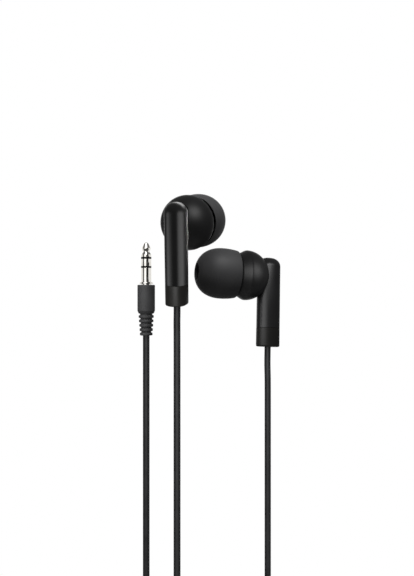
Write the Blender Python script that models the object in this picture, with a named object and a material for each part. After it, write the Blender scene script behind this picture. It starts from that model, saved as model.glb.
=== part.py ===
"""Wired earphones: two earbuds, their leads, a Y-split, a main lead and a 3.5 mm plug.

The set hangs as it is worn: stems and leads point down, +Z is up, and the left bud
is seen from its outer side when looking along +Y. Sizes are millimetres, turned to
metres by MM. Layout points count from the middle of the pair. The model's own
origin is the nose of the left ear tip, where the ear canal holds it.
"""
from math import cos, pi, radians, sin, tau

import bmesh
import bpy
import numpy as np
from mathutils import Matrix, Vector

MM = 0.001
GAP = 0.3          # clearance between pieces that seat on each other
MERGE = 1e-7       # metres, welds the seam and the poles of turned pieces
SHELL_STEPS = 24   # facets round the housings and tips
PLUG_STEPS = 18
SMALL_STEPS = 16

# Where the two buds hang: centre of the housing's widest ring, nozzle and stem directions
LEFT_RING = (-5.15, -7.5, 17.55)
LEFT_NOZZLE = (0.37, 0.91, 0.19)
LEFT_STEM = (0.0, 0.205, -0.98)
RIGHT_RING = (11.35, 7.6, 3.8)
RIGHT_NOZZLE = (-0.96, -0.26, 0.065)
RIGHT_STEM = (-0.048, -0.14, -0.99)

# Housing, measured along the nozzle from the widest ring
HOUSING_R = 7.42
CUP_DEPTH = 7.0
CUP_WALL = 0.8
SPIGOT_R = 5.95
SPIGOT_WALL = 0.5
SPIGOT_DEPTH = 1.6
CAVITY_TOP = 1.5
SHOULDER_Z = 3.0
FRONT_TAPER = [(7.38, 0.25), (7.2, 0.7), (6.93, 1.25), (6.61, 1.8), (6.24, 2.4), (5.92, 2.8), (5.45, 3.0)]
NOZZLE_R = 2.75
NOZZLE_LIP_R = 3.05
NOZZLE_LIP_Z = (7.0, 7.3, 7.8)    # where the retaining lip starts, is full, and ends
NOZZLE_BORE_R = 2.0
NOZZLE_END = 8.2
MESH_TALL = 0.3
MESH_SUNK = 0.45                  # top of the mesh below the nozzle's mouth
MESH_HOLE_R = 0.34
MESH_HOLE_RING = 1.08

# Ear tip
TIP_R = 7.43
TIP_RIM_R = 7.03
TIP_RIM_Z = 3.1
TIP_RIM_ROUND = 0.2
TIP_SKIRT = (7.32, 5.0)           # radius and height of a point on the skirt
TIP_RING_Z = 7.2
TIP_NOSE_Z = 15.3
TIP_BORE_R = 2.3
TIP_LIP = [(0.0, -0.35), (0.12, -0.08), (0.4, 0.0)]  # rounding of the bore's mouth
TIP_SKIN = 0.5
TIP_FULLNESS = 2.3                # superellipse power of the dome
TIP_OUTER_RADII = (3.7, 4.8, 5.7, 6.4, 6.95, 7.3)
TIP_INNER_RADII = (6.5, 5.6, 4.6)
TIP_CORE_R = 3.95
TIP_CORE_DRAFT = 0.15
TIP_SOCKET_R = 3.4
TIP_SOCKET_END = 9.0

# Stem and strain relief: a rounded tube across the back of the cup, with an arched top
STEM_HALF_WIDE = 2.8
STEM_HALF_DEEP = 3.45
STEM_FULLNESS = 2.4  # superellipse power of the section
STEM_BACK = 7.5      # stem axis behind the widest ring
STEM_TOP = 5.75
STEM_END = -15.3
STEM_WALL = 0.8
SECTION_STEPS = 10   # from the section's front line to its rear line
ARCH_STEPS = 10
SLOT_END = -11.3     # the cup's slot runs out below the cup
WIRE_WINDOW_R = 1.3
RELIEF_END = -20.9
RELIEF_CORNER = 0.5
RELIEF_SPIGOT = 2.5
SOCKET_DEPTH = 1.2   # how far a lead sinks into its strain relief or boot
CRIMP = [(0.0, 1.1), (0.3, 1.4), (1.9, 1.4), (2.2, 1.1)]  # height, radius

# Driver stack, heights from the widest ring
DRIVER_R = 5.1
FRAME_Z = (-0.9, -0.3, 0.7)      # foot, ledge under the cone, top
YOKE_R = 3.5
YOKE_BORE_R = 3.15
YOKE_BACK = -2.5
YOKE_FLOOR = 0.5
YOKE_TOP = -0.2
MAGNET_R = 2.0
MAGNET_TOP = -0.75
PLATE_R = 2.1
PLATE_TOP = -0.05
COIL_INNER_R = 2.4
COIL_OUTER_R = 2.75
COIL_Z = (-0.9, 0.3)
CONE_SKIN = 0.2
CONE_R = 4.3
CONE_FACE = [(0, 1.05), (1.0, 0.98), (1.9, 0.87), (2.6, 0.8), (3.0, 0.95), (3.45, 1.03), (3.9, 0.9),
             (4.3, 0.55)]        # radius, height
BOARD_R = (0.6, 3.3)
BOARD_TALL = 0.4

# Plug: 3.5 mm, three contacts, 14 mm from shoulder to tip
PLUG_PLACE = (-20.2, 26.0, 1.05)  # centre of the boot's front face
JACK_R = 1.75
JACK_PIN_R = 0.5
JACK_PIN_END = -2.0
JACK_BORE_R = 0.8
JACK_LENGTH = 14.0
JACK_NOSE = [(0, 0), (0.45, -0.05), (0.8, -0.35), (1.5, -1.75), (1.55, -2.05), (1.15, -2.9), (1.2, -3.2),
             (1.75, -4.0)]       # radius, height from the tip
JACK_BANDS = (5.9, 8.9)          # middles of the two insulating rings
JACK_BAND_TALL = 0.5
FLANGE_R = 2.35
FLANGE_TALL = 0.6
SHANK_DEPTH = 3.5
BOOT_R = 2.9
BOOT_EDGE = [(0.4, 0.0), (0.12, -0.12), (0.0, -0.4)]  # inset and height round the front edge
BOOT_STRAIGHT = 9.5
RIBS = 5
RIB_FIRST_R = 2.5
RIB_LAST_R = 2.1
RIB_PITCH = 1.45
RIB_GROOVE = 0.6
RIB_DEPTH = 0.45
RIB_DRAFT = 0.1

# Cords
LEAD_D = 1.85
MAIN_D = 2.2
LOOP_POINTS = 24
LOOP_AIR = 0.5      # air between neighbouring turns of a coil
STEP_DIAMETERS = 2.0
LEFT_COIL = {"inner_r": 7.65, "turns": 4.0, "layers": 2, "spin": 1, "depth_sign": 1}
RIGHT_COIL = {"inner_r": 8.4, "turns": 4.0, "layers": 2, "spin": -1, "depth_sign": 1}
MAIN_COIL = {"inner_r": 9.8, "turns": 8.25, "layers": 4, "spin": 1, "depth_sign": -1}
LEFT_COIL_START = (-7.98, -9.0, -93.5)    # where a coil's first turn begins, at its side
RIGHT_COIL_START = (17.87, 5.8, -100.5)
MAIN_COIL_START = (-20.2, 26.0, -126.0)
TIE_WIDE = 4.0
TIE_THICK = 0.8
TIE_AIR = 0.65
TIE_CORNER = 1.2
TIE_CORNER_POINTS = 3
TIE_SPREAD = 0.985   # cosine of the angle within which a turn counts as passing the tie

# Y-split: centre of its top face, and how far each lead enters from the middle
Y_SPLIT_TOP = (8.0, 11.0, -123.0)
Y_SPLIT_LEAD = 1.15
Y_SPLIT_TALL = 11.0
Y_SPLIT_STEPS = 20
Y_SPLIT_OVALS = [(0, 2.5, 1.35), (-0.4, 2.9, 1.75), (-3.5, 3.0, 1.9), (-7.0, 2.4, 1.9), (-10.0, 1.95, 1.8),
                 (-10.6, 1.85, 1.7), (-11.0, 1.5, 1.35)]   # height, half width, half depth

# Route points between the ends of each free stretch
LEFT_LEAD_ROUTE = [(-7.98, -9.36, -9), (-7.98, -9.1, -12.5), (-7.98, -9.01, -17), (-7.98, -9.0, -23),
                   (-7.98, -9.0, -30), (-7.98, -9.0, -40), (-7.98, -9.0, -50), (-7.98, -9.0, -60),
                   (-7.98, -9.0, -70), (-7.98, -9.0, -80), (-7.98, -9.0, -87)]
RIGHT_LEAD_ROUTE = [(17.8, 6.08, -22.5), (17.86, 5.87, -26.5), (17.87, 5.8, -32), (17.87, 5.8, -40),
                    (17.87, 5.8, -50), (17.87, 5.8, -60), (17.87, 5.8, -70), (17.87, 5.8, -80),
                    (17.87, 5.8, -90), (17.87, 5.8, -95)]
MAIN_LEAD_ROUTE = [(-20.2, 26, -19), (-20.2, 26, -28), (-20.2, 26, -40), (-20.2, 26, -55),
                   (-20.2, 26, -70), (-20.2, 26, -85), (-20.2, 26, -100), (-20.2, 26, -112),
                   (-20.2, 26, -119)]
LEFT_TAIL_ROUTE = [(-7.98, -6.65, -98.5), (-7.98, -6.5, -102.5), (-7.7, -5.4, -107), (-6.5, -2.4, -111.2),
                   (-3.6, 2.2, -114.6), (0.6, 6.6, -116.6), (4.6, 9.8, -118.4), (6.6, 11.0, -120.8)]
RIGHT_TAIL_ROUTE = [(17.87, 8.15, -105.5), (17.65, 8.3, -109.5), (16.45, 8.95, -113.3), (13.7, 10.1, -116.6),
                    (11.1, 10.9, -119.2), (9.4, 11.0, -121.3)]
MAIN_TAIL_ROUTE = [(0.2, 17.9, -141.37), (3.0, 16.9, -141.2), (5.7, 14.5, -140.3), (7.5, 12.2, -138.6),
                   (8.0, 11.05, -136.4)]

# Finishes: sRGB colour, roughness, metallic
SATIN_BLACK = ("#1d1d1e", 0.32, 0.0)
MATTE_BLACK = ("#202021", 0.55, 0.0)
SILICONE = ("#2c2c2d", 0.62, 0.0)
CORD_RUBBER = ("#303031", 0.5, 0.0)
NICKEL = ("#c9c7c2", 0.2, 1.0)
STEEL = ("#8f8f90", 0.35, 1.0)
COPPER = ("#b0673a", 0.35, 1.0)
FILM = ("#b9a98a", 0.4, 0.0)
BOARD_GREEN = ("#1f4a33", 0.5, 0.0)
BAND_BLACK = ("#141414", 0.45, 0.0)


for old in list(bpy.data.objects):
    bpy.data.objects.remove(old, do_unlink=True)


def linear(hex_colour):
    """An sRGB hex colour as linear RGBA."""
    parts = [int(hex_colour[i:i + 2], 16) / 255 for i in (1, 3, 5)]
    return [c / 12.92 if c <= 0.04045 else ((c + 0.055) / 1.055) ** 2.4 for c in parts] + [1.0]


def paint(obj, finish):
    """Give a piece its own material."""
    colour, roughness, metallic = finish
    material = bpy.data.materials.new(obj.name + "_finish")
    material.use_nodes = True
    shader = material.node_tree.nodes["Principled BSDF"]
    shader.inputs["Base Color"].default_value = linear(colour)
    shader.inputs["Roughness"].default_value = roughness
    shader.inputs["Metallic"].default_value = metallic
    obj.data.materials.append(material)


def add_mesh(name, bm, frame, finish=None):
    """Turn a bmesh in millimetres into a closed, smooth-shaded piece under its frame."""
    bmesh.ops.scale(bm, vec=(MM, MM, MM), verts=bm.verts)
    bmesh.ops.remove_doubles(bm, verts=bm.verts, dist=MERGE)
    bmesh.ops.recalc_face_normals(bm, faces=bm.faces)
    mesh = bpy.data.meshes.new(name)
    bm.to_mesh(mesh)
    bm.free()
    mesh.shade_smooth()
    mesh.set_sharp_from_angle(angle=radians(35))
    obj = bpy.data.objects.new(name, mesh)
    bpy.context.scene.collection.objects.link(obj)
    obj.parent = frame
    if finish:
        paint(obj, finish)
    return obj


def add_frame(name, matrix):
    """An empty that places the pieces parented to it."""
    empty = bpy.data.objects.new(name, None)
    bpy.context.scene.collection.objects.link(empty)
    empty.matrix_world = matrix
    return empty


def turned(name, profile, frame, finish, steps=SMALL_STEPS):
    """Turn a profile of (radius, height) about the frame's Z. It closes on the axis or on itself."""
    bm = bmesh.new()
    points = [bm.verts.new((r, 0, z)) for r, z in profile]
    edges = [bm.edges.new(pair) for pair in zip(points, points[1:])]
    if profile[0][0] > 0:
        edges.append(bm.edges.new((points[-1], points[0])))
    bmesh.ops.spin(bm, geom=points + edges, cent=(0, 0, 0), axis=(0, 0, 1), angle=tau,
                   steps=steps, use_merge=True)
    return add_mesh(name, bm, frame, finish)


def skinned(name, loops, frame, finish=None, ring=False):
    """Join loops of equal point count one after the other; cap the ends, or close into a ring."""
    bm = bmesh.new()
    rows = [[bm.verts.new(point) for point in loop] for loop in loops]
    pairs = list(zip(rows, rows[1:]))
    if ring:
        pairs.append((rows[-1], rows[0]))
    else:
        bm.faces.new(rows[0])
        bm.faces.new(rows[-1])
    for low, high in pairs:
        for i in range(len(low)):
            j = (i + 1) % len(low)
            bm.faces.new((low[i], low[j], high[j], high[i]))
    return add_mesh(name, bm, frame, finish)


def cut(obj, cutter):
    """Take the cutter's space out of a piece."""
    cutter.hide_render = True
    cutter.display_type = "WIRE"
    boolean = obj.modifiers.new("cut_" + cutter.name, "BOOLEAN")
    boolean.operation = "DIFFERENCE"
    boolean.object = cutter


def arc(centre, radii, start, end, count):
    """Points on an elliptical arc in a (radius, height) profile, angles in degrees from +radius."""
    angles = np.radians(np.linspace(start, end, count))
    return [(centre[0] + radii[0] * cos(a), centre[1] + radii[1] * sin(a)) for a in angles]


def tip_dome(radius, top_z, rim_r):
    """Height of the ear tip's superellipse dome at a radius."""
    share = 1 - (radius / rim_r) ** TIP_FULLNESS
    return TIP_RING_Z + (top_z - TIP_RING_Z) * max(share, 0) ** (1 / TIP_FULLNESS)


def section_point(angle, inset):
    """A point of the stem's superellipse section, as (across, along the nozzle)."""
    wide, deep = STEM_HALF_WIDE - inset, STEM_HALF_DEEP - inset
    power = 2 / STEM_FULLNESS
    across = wide * abs(cos(angle)) ** power * np.sign(cos(angle))
    return across, -STEM_BACK + deep * abs(sin(angle)) ** power * np.sign(sin(angle))


def stem_loop(y, inset=0.0):
    """The stem's section at a height on its axis, drawn in by an inset."""
    count = 2 * SECTION_STEPS
    points = [section_point(tau * i / count, inset) for i in range(count)]
    return [(x, y, z) for x, z in points]


def stem_circle(y, radius, count=2 * SECTION_STEPS):
    """A round loop on the stem's axis."""
    angles = [tau * i / count for i in range(count)]
    return [(radius * cos(a), y, -STEM_BACK + radius * sin(a)) for a in angles]


def arched_rows(inset, bottom):
    """The stem's surface as arches, from the section's rear line round to its front line.

    Each point of half the section runs up one side, over a half circle and down the other side.
    """
    crown = STEM_TOP - STEM_HALF_WIDE
    turns = np.linspace(0, pi, ARCH_STEPS + 1)
    rows = []
    for angle in np.linspace(-pi / 2, pi / 2, SECTION_STEPS + 1):
        x, z = section_point(angle, inset)
        arch = [(x * cos(b), crown + x * sin(b), z) for b in turns]
        rows.append([(x, bottom, z)] + arch + [(-x, bottom, z)])
    return rows


def sheet_faces(bm, rows):
    """Make the points of a grid and the faces between its rows; returns the points."""
    grid = [[bm.verts.new(point) for point in row] for row in rows]
    for low, high in zip(grid, grid[1:]):
        for i in range(len(low) - 1):
            bm.faces.new((low[i], low[i + 1], high[i + 1], high[i]))
    return grid


def foot_outline(grid):
    """The points of an arched sheet's lower edge, once round."""
    return [row[0] for row in grid] + [row[-1] for row in reversed(grid)]


def unit(vector):
    """A direction of length one."""
    return Vector(vector).normalized()


LEFT_NOSE = Vector(LEFT_RING) + unit(LEFT_NOZZLE) * TIP_NOSE_Z


def layout(point):
    """A layout point in millimetres as metres from the left ear tip's nose."""
    return (Vector(point) - LEFT_NOSE) * MM


def bud_matrix(ring, nozzle, stem):
    """Frame of a bud: Z out of the nozzle, Y up against the stem, origin in the widest ring."""
    z_axis = unit(nozzle)
    down = Vector(stem)
    y_axis = -unit(down - z_axis * down.dot(z_axis))
    turn = Matrix((y_axis.cross(z_axis), y_axis, z_axis)).transposed()
    return Matrix.Translation(layout(ring)) @ turn.to_4x4()


def add_front_shell(side, frame):
    """Front half of the housing, with its nozzle, sound bore and the spigot that the cup takes."""
    spigot_in = SPIGOT_R - SPIGOT_WALL
    lip_start, lip_full, lip_end = NOZZLE_LIP_Z
    outline = [(HOUSING_R, 0)] + FRONT_TAPER + [(NOZZLE_R, SHOULDER_Z), (NOZZLE_R, lip_start)]
    outline += [(NOZZLE_LIP_R, lip_full), (NOZZLE_LIP_R, lip_end), (NOZZLE_R, NOZZLE_END)]
    outline += [(NOZZLE_BORE_R, NOZZLE_END), (NOZZLE_BORE_R, CAVITY_TOP), (spigot_in, CAVITY_TOP)]
    outline += [(spigot_in, -SPIGOT_DEPTH), (SPIGOT_R, -SPIGOT_DEPTH), (SPIGOT_R, 0)]
    turned(side + "_front_shell", outline, frame, MATTE_BLACK, steps=SHELL_STEPS)


def add_rear_cup(side, frame):
    """Rear dome of the housing, slotted where the stem crosses it."""
    inner_r = HOUSING_R - CUP_WALL
    outside = arc((0, -GAP), (HOUSING_R, CUP_DEPTH - GAP), 0, -90, 9)
    inside = arc((0, -GAP), (inner_r, CUP_DEPTH - CUP_WALL - GAP), -90, 0, 7)
    outside[-1] = (0, outside[-1][1])
    inside[0] = (0, inside[0][1])
    cup = turned(side + "_rear_cup", inside + outside, frame, MATTE_BLACK, steps=SHELL_STEPS)
    bm = bmesh.new()
    bm.faces.new(foot_outline(sheet_faces(bm, arched_rows(-GAP, SLOT_END))))
    cut(cup, add_mesh(side + "_cup_slot", bm, frame))


def add_stem_shell(side, frame):
    """Hollow stem with an arched top and a window for the wires."""
    bm = bmesh.new()
    outer = foot_outline(sheet_faces(bm, arched_rows(0, STEM_END)))
    inner = foot_outline(sheet_faces(bm, arched_rows(STEM_WALL, STEM_END)))
    for i in range(len(outer)):
        j = (i + 1) % len(outer)
        bm.faces.new((outer[i], outer[j], inner[j], inner[i]))
    stem = add_mesh(side + "_stem_shell", bm, frame, SATIN_BLACK)
    bm = bmesh.new()
    place = Matrix.Translation((0, 0, -STEM_BACK + STEM_HALF_DEEP))
    bmesh.ops.create_cone(bm, cap_ends=True, segments=12, radius1=WIRE_WINDOW_R, radius2=WIRE_WINDOW_R,
                          depth=3 * STEM_WALL, matrix=place)
    cut(stem, add_mesh(side + "_wire_window", bm, frame))


def add_strain_relief(side, frame):
    """Collar under the stem: a spigot into the stem, a rounded lower edge, a socket for the lead."""
    spigot = STEM_WALL + GAP
    top = STEM_END - GAP
    corner = RELIEF_CORNER
    loops = [stem_loop(STEM_END + RELIEF_SPIGOT, spigot), stem_loop(top, spigot), stem_loop(top)]
    for angle in (0, 45, 90):
        bend = radians(angle)
        loops.append(stem_loop(RELIEF_END + corner * (1 - sin(bend)), corner * (1 - cos(bend))))
    socket_r = LEAD_D / 2 + GAP
    loops += [stem_circle(RELIEF_END, socket_r), stem_circle(RELIEF_END + SOCKET_DEPTH, socket_r)]
    skinned(side + "_strain_relief", loops, frame, SATIN_BLACK)


def add_cord_crimp(side, frame):
    """Ferrule on the lead's core, which rests on the strain relief's spigot inside the stem."""
    low = STEM_END + RELIEF_SPIGOT + GAP
    loops = [stem_circle(low + y, r, 12) for y, r in CRIMP]
    skinned(side + "_cord_crimp", loops, frame, STEEL)


def add_ear_tip(side, frame):
    """Silicone tip: a thin dome that turns in at its nose to a core with the nozzle's socket."""
    nose_z = tip_dome(TIP_BORE_R + TIP_LIP[-1][0], TIP_NOSE_Z, TIP_R)
    rim_z = TIP_RIM_Z + TIP_RIM_ROUND
    outside = [(TIP_BORE_R + out, nose_z + up) for out, up in TIP_LIP]
    outside += [(r, tip_dome(r, TIP_NOSE_Z, TIP_R)) for r in TIP_OUTER_RADII]
    outside += [(TIP_R, TIP_RING_Z), TIP_SKIRT, (TIP_RIM_R, rim_z)]
    inner_r = TIP_R - TIP_SKIN
    inner_top = TIP_NOSE_Z - TIP_SKIN
    inside = [(TIP_RIM_R - TIP_RIM_ROUND, TIP_RIM_Z), (TIP_RIM_R - TIP_SKIN, rim_z), (inner_r, TIP_RING_Z)]
    inside += [(r, tip_dome(r, inner_top, inner_r)) for r in TIP_INNER_RADII]
    inside += [(TIP_CORE_R, inside[-1][1]), (TIP_CORE_R - TIP_CORE_DRAFT, SHOULDER_Z + GAP)]
    inside += [(TIP_SOCKET_R, SHOULDER_Z + GAP), (TIP_SOCKET_R, TIP_SOCKET_END)]
    inside += [(TIP_BORE_R, TIP_SOCKET_END)]
    turned(side + "_ear_tip", outside + inside, frame, SILICONE, steps=SHELL_STEPS)


def add_nozzle_mesh(side, frame):
    """Perforated disc near the nozzle's mouth."""
    high = NOZZLE_END - MESH_SUNK
    low = high - MESH_TALL
    disc = turned(side + "_nozzle_mesh", bar(NOZZLE_BORE_R - GAP, low, high), frame, STEEL)
    bm = bmesh.new()
    turns = [i * pi / 3 for i in range(6)]
    for x, y in [(0, 0)] + [(MESH_HOLE_RING * cos(a), MESH_HOLE_RING * sin(a)) for a in turns]:
        bmesh.ops.create_cone(bm, cap_ends=True, segments=8, radius1=MESH_HOLE_R, radius2=MESH_HOLE_R,
                              depth=4 * MESH_TALL, matrix=Matrix.Translation((x, y, (low + high) / 2)))
    cut(disc, add_mesh(side + "_mesh_holes", bm, frame))


def bar(radius, low, high):
    """Profile of a solid round bar."""
    return [(0, low), (radius, low), (radius, high), (0, high)]


def sleeve(inner, outer, low, high):
    """Profile of a plain ring."""
    return [(inner, low), (outer, low), (outer, high), (inner, high)]


def add_driver(side, frame):
    """Moving-coil driver: frame, yoke, magnet, pole plate, voice coil, diaphragm, terminal board."""
    foot, ledge, top = FRAME_Z
    cone_in, yoke_in = CONE_R + GAP, YOKE_R + GAP
    turned(side + "_driver_frame", [(DRIVER_R, foot), (DRIVER_R, top), (cone_in, top), (cone_in, ledge),
                                    (yoke_in, ledge), (yoke_in, foot)], frame, MATTE_BLACK)
    floor = YOKE_BACK + YOKE_FLOOR
    turned(side + "_driver_yoke", [(0, YOKE_BACK), (YOKE_R, YOKE_BACK), (YOKE_R, YOKE_TOP),
                                   (YOKE_BORE_R, YOKE_TOP), (YOKE_BORE_R, floor), (0, floor)], frame, STEEL)
    turned(side + "_driver_magnet", bar(MAGNET_R, floor + GAP, MAGNET_TOP), frame, NICKEL)
    turned(side + "_driver_pole_plate", bar(PLATE_R, MAGNET_TOP + GAP, PLATE_TOP), frame, STEEL)
    turned(side + "_voice_coil", sleeve(COIL_INNER_R, COIL_OUTER_R, *COIL_Z), frame, COPPER)
    back = [(r, z - CONE_SKIN) for r, z in reversed(CONE_FACE)]
    turned(side + "_diaphragm", CONE_FACE + back, frame, FILM)
    high = YOKE_BACK - GAP
    turned(side + "_terminal_board", sleeve(*BOARD_R, high - BOARD_TALL, high), frame, BOARD_GREEN)


def add_bud(side, ring, nozzle, stem):
    """All the pieces of one earbud, under one frame."""
    frame = add_frame(side + "_bud_frame", bud_matrix(ring, nozzle, stem))
    for add in (add_front_shell, add_rear_cup, add_stem_shell, add_strain_relief, add_cord_crimp,
                add_ear_tip, add_nozzle_mesh, add_driver):
        add(side, frame)
    return frame


def add_plug():
    """3.5 mm plug: tip, ring and sleeve with two insulating rings between, in a ribbed boot."""
    frame = add_frame("plug_frame", Matrix.Translation(layout(PLUG_PLACE)))
    half = JACK_BAND_TALL / 2
    low_band, high_band = JACK_BANDS
    base = high_band + half + GAP
    nose = [(r, JACK_LENGTH + z) for r, z in JACK_NOSE]
    pin = [(JACK_R, base), (JACK_PIN_R, base), (JACK_PIN_R, JACK_PIN_END), (0, JACK_PIN_END)]
    turned("plug_tip", nose + pin, frame, NICKEL, steps=PLUG_STEPS)
    for name, middle in (("plug_ring_insulator", low_band), ("plug_tip_insulator", high_band)):
        turned(name, sleeve(JACK_BORE_R, JACK_R, middle - half, middle + half), frame, BAND_BLACK,
               steps=PLUG_STEPS)
    low, high = low_band + half + GAP, high_band - half - GAP
    turned("plug_ring", sleeve(JACK_BORE_R, JACK_R, low, high), frame, NICKEL, steps=PLUG_STEPS)
    top = low_band - half - GAP
    flange_top = GAP + FLANGE_TALL
    turned("plug_sleeve",
           [(JACK_BORE_R, -SHANK_DEPTH), (JACK_R, -SHANK_DEPTH), (JACK_R, GAP), (FLANGE_R, GAP),
            (FLANGE_R, flange_top), (JACK_R, flange_top), (JACK_R, top), (JACK_BORE_R, top)],
           frame, NICKEL, steps=PLUG_STEPS)
    add_boot(frame)
    return frame


def boot_bottom():
    """Height of the boot's lower end, where the main lead leaves it."""
    return -BOOT_STRAIGHT - RIBS * RIB_PITCH


def add_boot(frame):
    """Moulded boot: a straight grip, then ribs that taper to the lead."""
    bore = JACK_R + GAP
    outline = [(bore, -SHANK_DEPTH - GAP), (bore, 0)]
    outline += [(BOOT_R - inset, z) for inset, z in BOOT_EDGE] + [(BOOT_R, -BOOT_STRAIGHT)]
    for i in range(RIBS):
        z = -BOOT_STRAIGHT - i * RIB_PITCH
        outer = RIB_FIRST_R + (RIB_LAST_R - RIB_FIRST_R) * i / (RIBS - 1)
        groove = outer - RIB_DEPTH
        outline += [(groove, z - RIB_DRAFT), (groove, z - RIB_GROOVE + RIB_DRAFT)]
        outline += [(outer, z - RIB_GROOVE), (outer, z - RIB_PITCH)]
    socket = MAIN_D / 2 + GAP
    floor = boot_bottom() + SOCKET_DEPTH
    outline += [(socket, boot_bottom()), (socket, floor), (0, floor)]
    turned("plug_boot", [(0, -SHANK_DEPTH - GAP)] + outline, frame, MATTE_BLACK, steps=PLUG_STEPS)


def smooth_route(points, diameter):
    """Points on a smooth curve through a cord's route points, and its length.

    The first and last steps are one diameter long, so that the ends meet their faces squarely.
    """
    knots = [Vector(p) for p in points]
    knots = [knots[0] * 2 - knots[1]] + knots + [knots[-1] * 2 - knots[-2]]
    fine = []
    for a, b, c, d in zip(knots, knots[1:], knots[2:], knots[3:]):
        for t in np.linspace(0, 1, 16, endpoint=False):
            fine.append(0.5 * (2 * b + (c - a) * t + (2 * a - 5 * b + 4 * c - d) * t * t
                               + (3 * b - a - 3 * c + d) * t ** 3))
    fine.append(knots[-2])
    fine = np.array(fine)
    run = np.concatenate(([0], np.cumsum(np.linalg.norm(np.diff(fine, axis=0), axis=1))))
    count = round((run[-1] - 2 * diameter) / (STEP_DIAMETERS * diameter)) + 1
    at = np.concatenate(([0], np.linspace(diameter, run[-1] - diameter, count), [run[-1]]))
    return np.stack([np.interp(at, run, fine[:, k]) for k in range(3)], axis=1), run[-1]


def add_tube(name, points, diameter, sides_level, finish):
    """A round cord through its points, with flat filled ends."""
    curve = bpy.data.curves.new(name, "CURVE")
    curve.dimensions = "3D"
    curve.bevel_depth = diameter / 2 * MM
    curve.bevel_resolution = sides_level
    curve.use_fill_caps = True
    spline = curve.splines.new("POLY")
    spline.points.add(len(points) - 1)
    for point, place in zip(spline.points, points):
        point.co = (*layout(place), 1)
    obj = bpy.data.objects.new(name, curve)
    bpy.context.scene.collection.objects.link(obj)
    paint(obj, finish)


def add_cord(name, route, diameter):
    """A free stretch of cord along its route; returns its length."""
    points, length = smooth_route(route, diameter)
    add_tube(name, points, diameter, 2, CORD_RUBBER)
    print(name, "length", round(length, 1), "mm in", len(points), "points")
    return length


def coil_points(start, inner_r, turns, layers, diameter, spin, depth_sign):
    """Turns of a hanging coil that starts at its side, moving down.

    The radius falls and rises at a steady rate, a layer at a time, and the cord climbs
    to the next layer in the half turn where the radius reverses.
    """
    pitch = diameter + LOOP_AIR
    per_layer = turns / layers
    outer_r = inner_r + pitch * per_layer
    centre_x = start[0] + spin * outer_r
    points = [(start[0], start[1], start[2] + diameter)]
    count = round(turns * LOOP_POINTS)
    for i in range(count + 1):
        t = turns * i / count
        layer, along = divmod(t / per_layer, 1)
        if layer == layers:
            layer, along = layers - 1, 1.0
        inward = layer % 2 == 0
        radius = inner_r + pitch * per_layer * (1 - along if inward else along)
        climbs = sum(climb_share(t - k * per_layer) for k in range(1, layers))
        angle = pi + tau * t
        points.append((centre_x + spin * radius * cos(angle), start[1] + depth_sign * pitch * climbs,
                       start[2] + radius * sin(angle)))
    last = tau * turns
    out = Vector((spin * sin(last), 0, -cos(last)))
    points.append(tuple(Vector(points[-1]) + out * diameter))
    return points, (centre_x, start[2])


def climb_share(turns_past):
    """How much of a layer's climb is done, over half a turn round the reversal."""
    share = min(max((turns_past + 0.25) / 0.5, 0), 1)
    return share * share * (3 - 2 * share)


def least_gap(points, diameter):
    """Least air between a coil's turns, measured between points over half a loop apart."""
    places = np.array(points)
    apart = np.linalg.norm(places[:, None] - places[None], axis=2)
    index = np.arange(len(places))
    far = np.abs(index[:, None] - index[None]) > LOOP_POINTS // 2
    return apart[far].min() - diameter


def add_coil(name, points, diameter):
    """One coil as a single unbroken tube."""
    add_tube(name, points, diameter, 1, CORD_RUBBER)
    places = np.array(points)
    length = np.linalg.norm(np.diff(places, axis=0), axis=1).sum()
    print(name, "length", round(length, 1), "mm, least gap", round(least_gap(points, diameter), 2), "mm")
    return length


def add_tie(name, points, centre, angle, diameter):
    """Band round a coil's bundle at an angle of the coil, sized from the turns that pass there."""
    out = Vector((cos(radians(angle)), 0, sin(radians(angle))))
    middle = Vector((centre[0], 0, centre[1]))
    flat = [(Vector(p), (Vector((p[0], 0, p[2])) - middle).normalized()) for p in points]
    near = [point for point, way in flat if way.dot(out) > TIE_SPREAD]
    radial = [(p - middle).dot(out) for p in near]
    depth = [p.y for p in near]
    air = diameter / 2 + TIE_AIR
    half_r = (max(radial) - min(radial)) / 2 + air
    half_y = (max(depth) - min(depth)) / 2 + air
    place = middle + out * (max(radial) + min(radial)) / 2
    place.y = (max(depth) + min(depth)) / 2
    along = out.cross(Vector((0, 1, 0)))
    turn = Matrix((out, Vector((0, 1, 0)), along)).transposed()
    frame = add_frame(name + "_frame", Matrix.Translation(layout(place)) @ turn.to_4x4())
    loops = [band_loop(half_r, half_y, z) for z in (-TIE_WIDE / 2, TIE_WIDE / 2)]
    outer = [band_loop(half_r + TIE_THICK, half_y + TIE_THICK, z) for z in (TIE_WIDE / 2, -TIE_WIDE / 2)]
    skinned(name, loops + outer, frame, MATTE_BLACK, ring=True)


def band_loop(half_x, half_y, z):
    """A rounded rectangle at a height."""
    loop = []
    for quarter in range(4):
        sign_x = 1 if quarter in (0, 3) else -1
        sign_y = 1 if quarter in (0, 1) else -1
        for k in range(TIE_CORNER_POINTS):
            a = pi / 2 * (quarter + k / (TIE_CORNER_POINTS - 1))
            x = sign_x * (half_x - TIE_CORNER) + TIE_CORNER * cos(a)
            y = sign_y * (half_y - TIE_CORNER) + TIE_CORNER * sin(a)
            loop.append((x, y, z))
    return loop


def add_y_split(place):
    """Moulding that takes two leads at its top and the main lead at its foot."""
    frame = add_frame("y_split_frame", Matrix.Translation(layout(place)))
    angles = [tau * i / Y_SPLIT_STEPS for i in range(Y_SPLIT_STEPS)]
    loops = [[(wide * cos(a), deep * sin(a), z) for a in angles] for z, wide, deep in Y_SPLIT_OVALS]
    skinned("y_split", loops, frame, MATTE_BLACK)


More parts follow.
